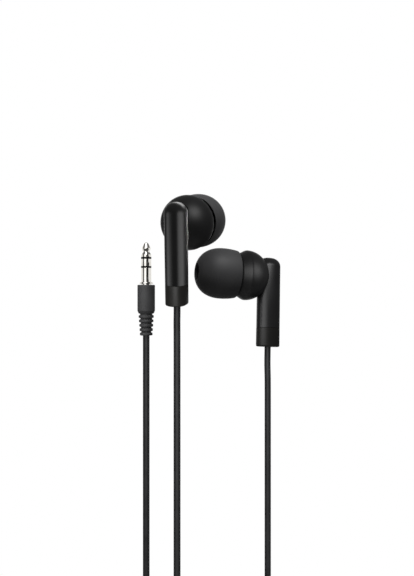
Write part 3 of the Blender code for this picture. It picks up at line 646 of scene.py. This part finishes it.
def tip_profile():
    """Outside from the bore to the skirt's rim, then back inside to the socket."""
    dome = dome_arc(TIP_R, TIP_NOSE_Z, TIP_MOUTH_R, 36)
    mouth_z = dome[0][1]
    mouth = [(TIP_BORE_R + out, mouth_z - below) for out, below in MOUTH_BEND]
    skirt = [(7.42, 6.5), (7.38, 5.8), (7.31, 5.0), (7.2, 4.2), (7.08, 3.5), (7.03, 3.26), (6.98, 3.15),
             (6.9, 3.12), (6.82, 3.17), (6.78, 3.32), (6.82, 4.6), (6.88, 5.8)]
    inside = list(reversed(dome_arc(TIP_R - TIP_SKIN, TIP_NOSE_Z - TIP_SKIN, TIP_HOLLOW_R, 24)))
    core_top = inside[-1][1]
    core = [(4.2, core_top + 0.02), (4.0, core_top - 0.2), (3.92, core_top - 0.6), (3.8, 3.5), (3.72, 3.36),
            (3.5, 3.34), (3.4, 3.44), (3.4, 8.9), (3.3, 9.0), (2.4, 9.0), (TIP_BORE_R, 9.1)]
    return mouth + dome + skirt + inside + core


for side, place in BUD_FRAMES.items():
    add_piece(side + "_ear_tip_visual", turned_mesh(tip_profile(), steps=112), place, SILICONE, side + "_tip",
              [side + "_ear_tip"])

# %% [markdown]
# Metals are simpler than plastics: all of their colour is in the reflection. Plated contacts are
# polished, with faint rings from the lathe. On the real ones these lie a few hundredths of a
# millimetre apart, and here they are drawn about four times coarser, so that they can show.

# %% Materials: metals


def metal(name, dark, light, rough, ring_mm, ring_deep, drift_mm=1.5):
    """A metal with a slow drift of tone and fine tool marks across it."""
    material, tree, shader = new_material(name, Metallic=1.0)
    place = add_node(tree, "ShaderNodeTexCoord").outputs["Object"]
    drift = add_node(tree, "ShaderNodeTexNoise",
                     {"Vector": place, "Scale": per_metre(drift_mm), "Detail": 3.0})
    # each light or dark band of this wave comes out about ring_mm wide
    marks = add_node(tree, "ShaderNodeTexWave", {"Vector": place, "Scale": per_metre(ring_mm) / tau,
                                                 "Distortion": 1.5}, bands_direction="Z")
    tree.links.new(two_tone(tree, drift.outputs["Fac"], dark, light), shader.inputs["Base Color"])
    sheen = add_node(tree, "ShaderNodeMapRange", {"Value": drift.outputs["Fac"], "To Min": rough * 0.75,
                                                  "To Max": rough * 1.25})
    tree.links.new(sheen.outputs["Result"], shader.inputs["Roughness"])
    bump = add_node(tree, "ShaderNodeBump", {"Height": marks.outputs["Fac"], "Strength": 1.0,
                                             "Distance": ring_deep * MM})
    tree.links.new(bump.outputs["Normal"], shader.inputs["Normal"])
    return material


# Nickel plate, turned and polished: mirror-like, a little warm
NICKEL = metal("polished_nickel_plate", "#cfccc6", "#d9d7d2", 0.08, 0.12, 0.00002)
# Woven stainless wire
STEEL_WIRE = metal("drawn_steel_wire", "#8b8b8a", "#a5a5a3", 0.3, 0.1, 0.0003)
# Pressed iron parts under a thin coat of zinc
ZINC_IRON = metal("zinc_plated_iron", "#8f9092", "#adaeb0", 0.36, 0.3, 0.001, drift_mm=0.6)
# Voice coil of enamelled copper: the turns show as bands 0.05 mm wide on the real one, drawn 0.12 mm here
COPPER = metal("enamelled_copper_winding", "#a5552a", "#c27a45", 0.32, 0.12, 0.006)
print("metals ready, the last is", COPPER.name)

# %% [markdown]
# A fine mesh in the nozzle keeps dust out of the driver. A pattern of holes on a disc would be
# simpler, but it would not let the bore show through, so the mesh is woven from wires that pass
# over and under each other. The real mesh is about three times finer.

# %% Nozzle meshes
MESH_Z = 7.55
MESH_R = 1.72
MESH_OPEN_R = 1.55
MESH_HALF_TALL = 0.15
MESH_EDGE = 0.03
WIRE_R = 0.055
WIRE_PITCH = 0.3
WIRE_END_R = 1.62     # the wires end inside the ring
WIRES_EACH_WAY = 5    # on either side of the middle one
WIRE_SIDES = 6
WIRE_POINTS = 33


def add_wire(bm, points):
    """A thin six-sided wire along its points."""
    rows = []
    for k, here in enumerate(points):
        ahead = (points[min(k + 1, len(points) - 1)] - points[max(k - 1, 0)]).normalized()
        out = Vector((0, 0, 1))
        across = ahead.cross(out).normalized()
        out = across.cross(ahead)
        angles = [tau * i / WIRE_SIDES for i in range(WIRE_SIDES)]
        rows.append([here + (across * cos(a) + out * sin(a)) * WIRE_R for a in angles])
    grid = skin_rows(bm, rows)
    bm.faces.new(grid[0])
    bm.faces.new(grid[-1])


def woven_mesh():
    """Two sets of wires that pass over and under each other, in a clamped ring."""
    low, high = MESH_Z - MESH_HALF_TALL, MESH_Z + MESH_HALF_TALL
    ring = [(MESH_OPEN_R, low, MESH_EDGE), (MESH_R, low, MESH_EDGE), (MESH_R, high, MESH_EDGE),
            (MESH_OPEN_R, high, MESH_EDGE)]
    bm = turned_mesh(rounded(ring, steps=2), steps=48)
    for k in range(-WIRES_EACH_WAY, WIRES_EACH_WAY + 1):
        offset = k * WIRE_PITCH
        half = (WIRE_END_R ** 2 - offset ** 2) ** 0.5
        spots = np.linspace(-half, half, WIRE_POINTS)
        for turn in (0, 1):
            sign = 1 if (k + turn) % 2 else -1
            heights = [MESH_Z + sign * WIRE_R * cos(pi * s / WIRE_PITCH) for s in spots]
            line = [(offset, s, z) if turn else (s, offset, z) for s, z in zip(spots, heights)]
            add_wire(bm, [Vector(point) for point in line])
    return bm


for side, place in BUD_FRAMES.items():
    add_piece(side + "_nozzle_mesh_visual", woven_mesh(), place, STEEL_WIRE, "headset",
              [side + "_nozzle_mesh"])

# %% [markdown]
# The plug is a 3.5 mm stereo jack: tip, ring and sleeve, parted by two black rings. Each contact is a
# turned part of its own, with the narrow waist behind the tip that a socket's spring drops into. All
# five are swept from profiles, as on the lathe that makes them.

# %% Plug contacts
JACK_R = 1.75
BORE_R = 0.8
JACK_LENGTH = 14.0
TIP_CONTACT = [(0.0, JACK_LENGTH, 0), (0.42, JACK_LENGTH, 0.25), (0.85, 13.62, 0.3), (1.56, 12.2, 0.25),
               (1.56, 11.9, 0.2), (1.13, 11.05, 0.3), (1.2, 10.8, 0.2), (JACK_R, 10.05, 0.2),
               (JACK_R, 9.2, 0.04), (0.5, 9.2, 0), (0.5, -2.0, 0), (0.0, -2.0, 0)]
SLEEVE_CONTACT = [(BORE_R, -3.5, 0), (JACK_R, -3.5, 0.1), (JACK_R, 0.3, 0), (2.35, 0.3, 0.1),
                  (2.35, 0.9, 0.12), (JACK_R, 0.9, 0.08), (JACK_R, 5.6, 0.04), (BORE_R, 5.6, 0)]
INSULATOR_R = JACK_R - 0.03


def band(low, high, radius, edge):
    """Profile of a ring on the jack."""
    return rounded([(BORE_R, low, 0), (radius, low, edge), (radius, high, edge), (BORE_R, high, 0)], steps=2)


JACK_PIECES = {
    "plug_tip": (rounded(TIP_CONTACT, steps=4), NICKEL, "nickel"),
    "plug_ring": (band(6.2, 8.6, JACK_R, 0.04), NICKEL, "nickel"),
    "plug_sleeve": (rounded(SLEEVE_CONTACT, steps=3), NICKEL, "nickel"),
    "plug_tip_insulator": (band(8.62, 9.18, INSULATOR_R, 0.02), INSULATOR, "insulator"),
    "plug_ring_insulator": (band(5.62, 6.18, INSULATOR_R, 0.02), INSULATOR, "insulator"),
}
for name, (profile, material, slot) in JACK_PIECES.items():
    add_piece(name + "_visual", turned_mesh(profile, steps=72), PLUG_FRAME, material,
                                 "headset", [name])

# %% [markdown]
# The boot is an elastomer moulded over the back of the jack: a straight grip, a bevel, and five ribs
# that let the lead bend. The ribs could be a modifier's copies of one ring, but they shrink towards
# the lead, so a loop writes them into one profile.

# %% Plug boot
BOOT_R = 2.9
BOOT_STRAIGHT = 9.5
BOOT_BEVEL = 0.9
BOOT_BEVEL_IN = 0.4
JACK_SOCKET_END = -3.8
JACK_SOCKET_AIR = 0.1
LEAD_SOCKET_AIR = 0.1
RIBS = 5
RIB_PITCH = 1.45
RIB_FIRST_R = 2.5
RIB_LAST_R = 2.1
RIB_DEPTH = 0.45
RIB_GROOVE = 0.6
RIB_SLOPE = 0.06      # how far a rib's flank leans


def boot_profile():
    """Grip with a broken front edge, ribs and grooves, and the sockets for jack and lead."""
    jack_r = JACK_R + JACK_SOCKET_AIR
    corners = [(0.0, JACK_SOCKET_END, 0), (jack_r, JACK_SOCKET_END, 0), (jack_r, 0.0, 0.08)]
    corners += [(BOOT_R, 0.0, 0.28), (BOOT_R, -BOOT_STRAIGHT + BOOT_BEVEL, 0.6),
                (BOOT_R - BOOT_BEVEL_IN, -BOOT_STRAIGHT, 0.2)]
    for i in range(RIBS):
        z = -BOOT_STRAIGHT - i * RIB_PITCH
        outer = RIB_FIRST_R + (RIB_LAST_R - RIB_FIRST_R) * i / (RIBS - 1)
        inner = outer - RIB_DEPTH
        corners += [(inner, z - RIB_SLOPE, 0.2), (inner, z - RIB_GROOVE + RIB_SLOPE, 0.2)]
        corners += [(outer, z - RIB_GROOVE, 0.24), (outer, z - RIB_PITCH, 0.24)]
    socket = MAIN_D / 2 + LEAD_SOCKET_AIR
    socket_top = BOOT_END + SOCKET_DEPTH
    corners += [(socket, BOOT_END, 0.08), (socket, socket_top, 0), (0.0, socket_top, 0)]
    return rounded(corners, closed=False)


add_piece("plug_boot_visual", turned_mesh(boot_profile(), steps=80), PLUG_FRAME, BOOT_TPE,
                             "headset", ["plug_boot"])

# %% [markdown]
# Where the two leads join the main lead there is a small moulded splitter. It could be modelled from
# a box with a subdivision surface. Skinned from ovals that narrow from two cords wide to one, it
# keeps exact sizes at both ends, where the cords go in.

# %% Y-split
SPLIT_OVALS = [(0.0, 2.3, 1.15), (-0.08, 2.55, 1.4), (-0.3, 2.8, 1.65), (-0.7, 2.93, 1.78), (-2.0, 3.0, 1.86),
               (-3.5, 3.0, 1.9), (-5.2, 2.75, 1.92), (-7.0, 2.4, 1.9), (-8.6, 2.12, 1.85), (-10.0, 1.95, 1.8),
               (-10.5, 1.87, 1.72), (-10.8, 1.72, 1.57), (-10.95, 1.5, 1.36), (-Y_SPLIT_TALL, 1.3, 1.2)]
SPLIT_STEPS = 48


def split_rows():
    """Ovals of the splitter from its top to its foot."""
    angles = [tau * i / SPLIT_STEPS for i in range(SPLIT_STEPS)]
    return [[(wide * cos(a), deep * sin(a), z) for a in angles] for z, wide, deep in SPLIT_OVALS]


bm = bmesh.new()
grid = skin_rows(bm, split_rows())
bm.faces.new(grid[0])
bm.faces.new(grid[-1])
split_frame = Matrix.Translation(layout(Y_SPLIT_TOP)) @ Matrix.Scale(MM, 4)
y_split = add_piece("y_split_visual", bm, split_frame, BOOT_TPE, "headset", ["y_split"])

# %% [markdown]
# Each wound coil is held by a rubber tie, a strap with rounded edges and a bead along each side. Its
# place and size are measured from the turns that pass through it, so it fits whatever coil it is
# given: the strap's section is carried round a rounded rectangle.

# %% Ties
TIE_WIDE = 4.0
TIE_THICK = 0.8
TIE_AIR = 0.65
TIE_CORNER = 1.2
TIE_ARC_STEPS = 8
TIE_SPREAD = 0.985   # cosine of the angle within which a turn counts as passing the tie


def tie_place(coil, angle):
    """Frame of the bundle at an angle of a coil, and the half sizes that its turns take there."""
    points = coil_points(**coil)
    pitch = coil["diameter"] + LOOP_AIR
    reach = coil["inner_r"] + pitch * coil["turns"] / coil["layers"]
    middle = Vector((coil["start"][0] + coil["spin"] * reach, 0, coil["start"][2]))
    out = Vector((cos(radians(angle)), 0, sin(radians(angle))))
    flat = [(p, (Vector((p.x, 0, p.z)) - middle).normalized()) for p in points]
    near = [p for p, way in flat if way.dot(out) > TIE_SPREAD]
    radial = [(p - middle).dot(out) for p in near]
    depth = [p.y for p in near]
    air = coil["diameter"] / 2 + TIE_AIR
    centre = middle + out * (max(radial) + min(radial)) / 2
    centre.y = (max(depth) + min(depth)) / 2
    turn = Matrix((out, Vector((0, 1, 0)), out.cross(Vector((0, 1, 0))))).transposed()
    matrix = Matrix.Translation(layout(centre)) @ turn.to_4x4() @ Matrix.Scale(MM, 4)
    return matrix, (max(radial) - min(radial)) / 2 + air, (max(depth) - min(depth)) / 2 + air


def band_loop(half_x, half_y, grow, z):
    """A rounded rectangle round the bundle at a height, pushed out by some thickness."""
    loop = []
    corner = TIE_CORNER + grow
    for quarter, (sign_x, sign_y) in enumerate(((1, 1), (-1, 1), (-1, -1), (1, -1))):
        for k in range(TIE_ARC_STEPS + 1):
            a = pi / 2 * (quarter + k / TIE_ARC_STEPS)
            loop.append((sign_x * (half_x - TIE_CORNER) + corner * cos(a),
                         sign_y * (half_y - TIE_CORNER) + corner * sin(a), z))
    return loop


def tie_section():
    """Thickness and height round the strap's section, edges rounded, with a bead along each edge."""
    half, thick = TIE_WIDE / 2, TIE_THICK
    edge = [(0.05, half - 0.2), (0.15, half - 0.05), (0.35, half), (thick - 0.2, half),
            (thick - 0.05, half - 0.08), (thick, half - 0.3), (thick - 0.05, half - 0.62),
            (thick - 0.25, half - 0.8)]
    other_edge = [(grow, -z) for grow, z in reversed(edge)]
    return other_edge[-1:] + edge + other_edge[:-1]


for name, coil, angle in (("left_lead_tie", LEFT_COIL, 0), ("right_lead_tie", RIGHT_COIL, 180),
                          ("main_lead_tie", MAIN_COIL, 0)):
    matrix, half_x, half_y = tie_place(coil, angle)
    rows = [band_loop(half_x, half_y, grow, z) for grow, z in tie_section()]
    bm = bmesh.new()
    skin_rows(bm, rows + rows[:1])
    add_piece(name + "_visual", bm, matrix, TIE_RUBBER, "headset", [name])

# %% [markdown]
# The driver inside each housing keeps the shapes of its solids. Nothing of it shows until the
# housing is opened, but each part still gets what it is made of: a printed-wiring board with its
# solder mask, a formed film, and the metals from above. The film's ripples and the board's weave are
# close to their real size.

# %% Materials: film and board


def formed_film():
    """Clear amber polyester film, heat-formed: glossy, with fine ripples."""
    material, tree, shader = new_material("formed_polyester_film", Roughness=0.25, IOR=1.6)
    place = add_node(tree, "ShaderNodeTexCoord").outputs["Object"]
    ripple = add_node(tree, "ShaderNodeTexNoise", {"Vector": place, "Scale": per_metre(0.4), "Detail": 2.0})
    tree.links.new(two_tone(tree, ripple.outputs["Fac"], "#a8946c", "#c4b188"), shader.inputs["Base Color"])
    bump = add_node(tree, "ShaderNodeBump", {"Height": ripple.outputs["Fac"], "Distance": 0.01 * MM})
    tree.links.new(bump.outputs["Normal"], shader.inputs["Normal"])
    return material


def solder_mask_board():
    """Glass-epoxy board under green solder mask: the weave shows faintly through the lacquer."""
    material, tree, shader = new_material("solder_masked_board", Roughness=0.35, IOR=1.55)
    place = add_node(tree, "ShaderNodeTexCoord").outputs["Object"]
    weave = add_node(tree, "ShaderNodeTexVoronoi", {"Vector": place, "Scale": per_metre(0.45)})
    colour = two_tone(tree, weave.outputs["Distance"], "#16402b", "#215a3d")
    tree.links.new(colour, shader.inputs["Base Color"])
    bump = add_node(tree, "ShaderNodeBump", {"Height": weave.outputs["Distance"], "Distance": 0.01 * MM})
    tree.links.new(bump.outputs["Normal"], shader.inputs["Normal"])
    return material


DRIVER_FINISHES = {"driver_frame": DRIVER_PLASTIC, "driver_yoke": ZINC_IRON, "driver_pole_plate": ZINC_IRON,
                   "driver_magnet": NICKEL, "voice_coil": COPPER, "diaphragm": formed_film(),
                   "terminal_board": solder_mask_board(), "cord_crimp": ZINC_IRON}
for side in BUDS:
    for part_name, material in DRIVER_FINISHES.items():
        node_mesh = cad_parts[side + "_" + part_name].data
        node_mesh.materials.clear()
        node_mesh.materials.append(material)
print("inner parts finished:", 2 * len(DRIVER_FINISHES))

# %% [markdown]
# The leads run from the strain reliefs to the splitter, and the main lead from the splitter to the plug.

print("whole cable about", round(left_length + main_length, 2), "m from a bud to the plug")

# %% [markdown]
# Black plastic is shown by what it reflects. The set hangs before a white card that fills the
# picture, in a dim room, so its outlines stay dark. Metal and clear parts see the card too, through
# Light Path's ray kinds. The room gives a little light from above and almost none from below.

# %% White card and dim room
scene = bpy.context.scene
scene.view_settings.view_transform = "Standard"


def white_card():
    """A world that is white where the card is, to the camera and to reflections, and dim elsewhere."""
    world = bpy.data.worlds.new("white_card")
    world.use_nodes = True
    tree = world.node_tree
    way = add_node(tree, "ShaderNodeTexCoord").outputs["Generated"]
    parts = add_node(tree, "ShaderNodeSeparateXYZ", {"Vector": way})
    card = add_node(tree, "ShaderNodeMapRange",
                    {"Value": parts.outputs["Y"], "From Min": 0.8, "From Max": 0.92})
    path = add_node(tree, "ShaderNodeLightPath")
    mirrored = add_node(tree, "ShaderNodeMath", {0: path.outputs["Is Glossy Ray"],
                                                 1: path.outputs["Is Transmission Ray"]}, operation="MAXIMUM")
    shown = add_node(tree, "ShaderNodeMath", {0: mirrored.outputs[0], 1: card.outputs["Result"]},
                     operation="MULTIPLY")
    seen = add_node(tree, "ShaderNodeMath", {0: path.outputs["Is Camera Ray"], 1: shown.outputs[0]},
                    operation="MAXIMUM")
    room = add_node(tree, "ShaderNodeMapRange",
                    {"Value": parts.outputs["Z"], "From Min": -0.2, "From Max": 0.7,
                     "To Min": 0.1, "To Max": 0.2})
    strength = add_node(tree, "ShaderNodeMix",
                        {"Factor": seen.outputs[0], "A": room.outputs["Result"], "B": 1.0})
    background = tree.nodes["Background"]
    tree.links.new(strength.outputs["Result"], background.inputs["Strength"])
    background.inputs["Color"].default_value = (1, 1, 1, 1)
    return world


scene.world = white_card()
print("world:", scene.world.name)

# %% [markdown]
# The floor is a pale painted board far below. It catches the shadow of the cables and fades out at
# its rim, so that no edge shows. The roller's texture is about three times coarser than a real one.

# %% Floor
FLOOR_PLACE = (0, 5, -150)
FLOOR_R = 115.0
FLOOR_PLAIN = 0.35    # share of the radius inside which the board doesn't fade


def painted_board():
    """Painted board: pale and matt, with a faint roller texture, fading out at its rim."""
    material, tree, shader = new_material("matt_painted_board", Roughness=0.8)
    place = add_node(tree, "ShaderNodeTexCoord").outputs["Object"]
    grain = add_node(tree, "ShaderNodeTexNoise", {"Vector": place, "Scale": per_metre(6.0), "Detail": 4.0})
    tree.links.new(two_tone(tree, grain.outputs["Fac"], "#f1f1f0", "#f6f6f5"), shader.inputs["Base Color"])
    away = add_node(tree, "ShaderNodeVectorMath", {0: place}, operation="LENGTH")
    fade = add_node(tree, "ShaderNodeMapRange",
                    {"Value": away.outputs["Value"], "From Min": FLOOR_PLAIN * FLOOR_R * MM,
                     "From Max": FLOOR_R * MM, "To Min": 1.0, "To Max": 0.0})
    tree.links.new(fade.outputs["Result"], shader.inputs["Alpha"])
    return material


bm = bmesh.new()
bmesh.ops.create_circle(bm, cap_ends=True, segments=96, radius=FLOOR_R * MM)
floor_mesh = bpy.data.meshes.new("floor")
bm.to_mesh(floor_mesh)
bm.free()
floor_mesh.materials.append(painted_board())
floor = bpy.data.objects.new("floor", floor_mesh)
scene.collection.objects.link(floor)
floor.location = layout(FLOOR_PLACE)
print("floor", 2 * FLOOR_R, "mm across")

# %% [markdown]
# The long soft bands on the stems are the images of soft boxes, brightest in the middle and fading to
# their edges. A flat lamp gives such a box. Light linking keeps a box to some pieces, as a
# photographer keeps light off the others with a flag.

# %% Soft boxes


def fade_to_edges(lamp):
    """Make a flat lamp brightest in its middle, as a lamp behind a diffuser is."""
    lamp.use_nodes = True
    tree = lamp.node_tree
    place = add_node(tree, "ShaderNodeNewGeometry").outputs["Parametric"]
    off = add_node(tree, "ShaderNodeVectorMath", {0: place, 1: (0.5, 0.5, 0.0)}, operation="DISTANCE")
    fade = add_node(tree, "ShaderNodeMapRange",
                    {"Value": off.outputs["Value"], "From Min": 0.5, "From Max": 0.1},
                    interpolation_type="SMOOTHSTEP")
    tree.links.new(fade.outputs["Result"], tree.nodes["Emission"].inputs["Strength"])


def soft_box(name, turn, lift, away, wide, tall, radiance, even=False):
    """A flat lamp aimed at the set: degrees right of the camera and up, sizes in millimetres."""
    lamp = bpy.data.lights.new(name, "AREA")
    lamp.shape = "RECTANGLE"
    lamp.size = wide * MM
    lamp.size_y = tall * MM
    lamp.energy = radiance * pi * wide * tall * MM * MM
    if not even:
        fade_to_edges(lamp)
    box = bpy.data.objects.new(name, lamp)
    scene.collection.objects.link(box)
    flat = away * cos(radians(lift))
    place = Vector((flat * sin(radians(turn)), -flat * cos(radians(turn)), away * sin(radians(lift))))
    box.location = layout(place)
    box.rotation_euler = place.to_track_quat("Z", "Y").to_euler()
    box.visible_camera = False
    return box


def light_only(box, pieces, state="INCLUDE"):
    """Link a lamp to some pieces, or keep it off them."""
    lit = bpy.data.collections.new(box.name + "_pieces")
    for piece in pieces:
        lit.objects.link(bpy.data.objects[piece])
    for entry in lit.collection_objects:
        entry.light_linking.link_state = state
    box.light_linking.receiver_collection = lit
    return lit


print("soft boxes ready")

# %% [markdown]
# In the picture the two buds are lit from different sides, so most boxes below belong to the pieces
# that show them. One box overhead, like a window, lights the rest. Two boxes shine past what stands
# between them and their piece, and the bright edge of the left stem comes from one of these.

# %% Lamps
LEFT_STEM = ["left_stem_shell_visual"]
LEFT_BALL = ["left_rear_cup_visual"]
LEFT_COLLAR = ["left_strain_relief_visual"]
LEFT_TIP = ["left_ear_tip_visual"]
RIGHT_STEM = ["right_stem_shell_visual"]
RIGHT_BALL = ["right_rear_cup_visual"]
RIGHT_SHELL = ["right_front_shell_visual"]
RIGHT_TIP = ["right_ear_tip_visual"]
RIGHT_FOOT = RIGHT_STEM + ["right_strain_relief_visual", "plug_boot_visual", "y_split_visual"]
LEADS = ["left_lead_cord", "right_lead_cord", "main_lead_cord"]
JACK = ["plug_tip_visual", "plug_ring_visual", "plug_sleeve_visual"]
NOT_FROM_ABOVE = LEFT_STEM + LEFT_BALL + LEFT_COLLAR + RIGHT_STEM + RIGHT_BALL + RIGHT_SHELL + RIGHT_TIP
NOT_FROM_ABOVE += ["left_front_shell_visual", "right_strain_relief_visual"]
# turn, lift, distance, width, height, radiance, and the pieces that the box is linked to
BOXES = {
    "overhead": (-15, 66, 190, 160, 130, 12.0, NOT_FROM_ABOVE),
    "left_ball_box": (24, 38, 200, 180, 180, 4.8, LEFT_BALL),
    "left_tip_box": (60, 35, 200, 200, 200, 3.0, LEFT_TIP),
    "right_tip_box": (25, 55, 190, 160, 130, 13.5, RIGHT_TIP),
    "right_shell_box": (-6, 18, 200, 320, 280, 3.1, RIGHT_SHELL),
    "right_arch_box": (46, 31, 58, 44, 28, 7.0, RIGHT_STEM),
    "left_stem_left": (-70, -16, 200, 220, 220, 1.8, LEFT_STEM),
    "left_stem_right": (68, -10, 200, 520, 320, 1.75, LEFT_STEM),
    "left_stem_rim": (160, 45, 200, 220, 160, 2.5, LEFT_STEM),
    "left_stem_edge": (153, 26, 60, 34, 44, 4.2, LEFT_STEM),
    "right_stem_left": (-34, 12, 200, 600, 260, 2.0, RIGHT_FOOT),
    "right_ball_box": (54, 18, 200, 250, 260, 3.1, RIGHT_BALL),
    "collar_front": (-9, 4, 200, 200, 300, 2.2, LEFT_COLLAR),
    "leads_front": (-2, 4, 200, 178, 300, 1.5, LEADS),
    "jack_front": (-23, 4, 200, 178, 300, 1.5, JACK),
    "jack_left": (-127, 0, 150, 300, 200, 1.0, JACK),
    "jack_right": (113, 0, 130, 330, 200, 1.0, JACK),
}
EVEN_BOXES = ("collar_front", "leads_front", "jack_front", "jack_left", "jack_right")
UNSHADED_BOXES = ("right_tip_box", "left_stem_edge")
for name, (*place_and_size, pieces) in BOXES.items():
    box = soft_box(name, *place_and_size, even=name in EVEN_BOXES)
    lit = light_only(box, pieces, "EXCLUDE" if pieces is NOT_FROM_ABOVE else "INCLUDE")
    if name in UNSHADED_BOXES:
        box.light_linking.blocker_collection = lit
# The cup stands in the mirror path from the stem to this box, so only samples of the box itself count
bpy.data.lights["left_stem_edge"].cycles.use_multiple_importance_sampling = False
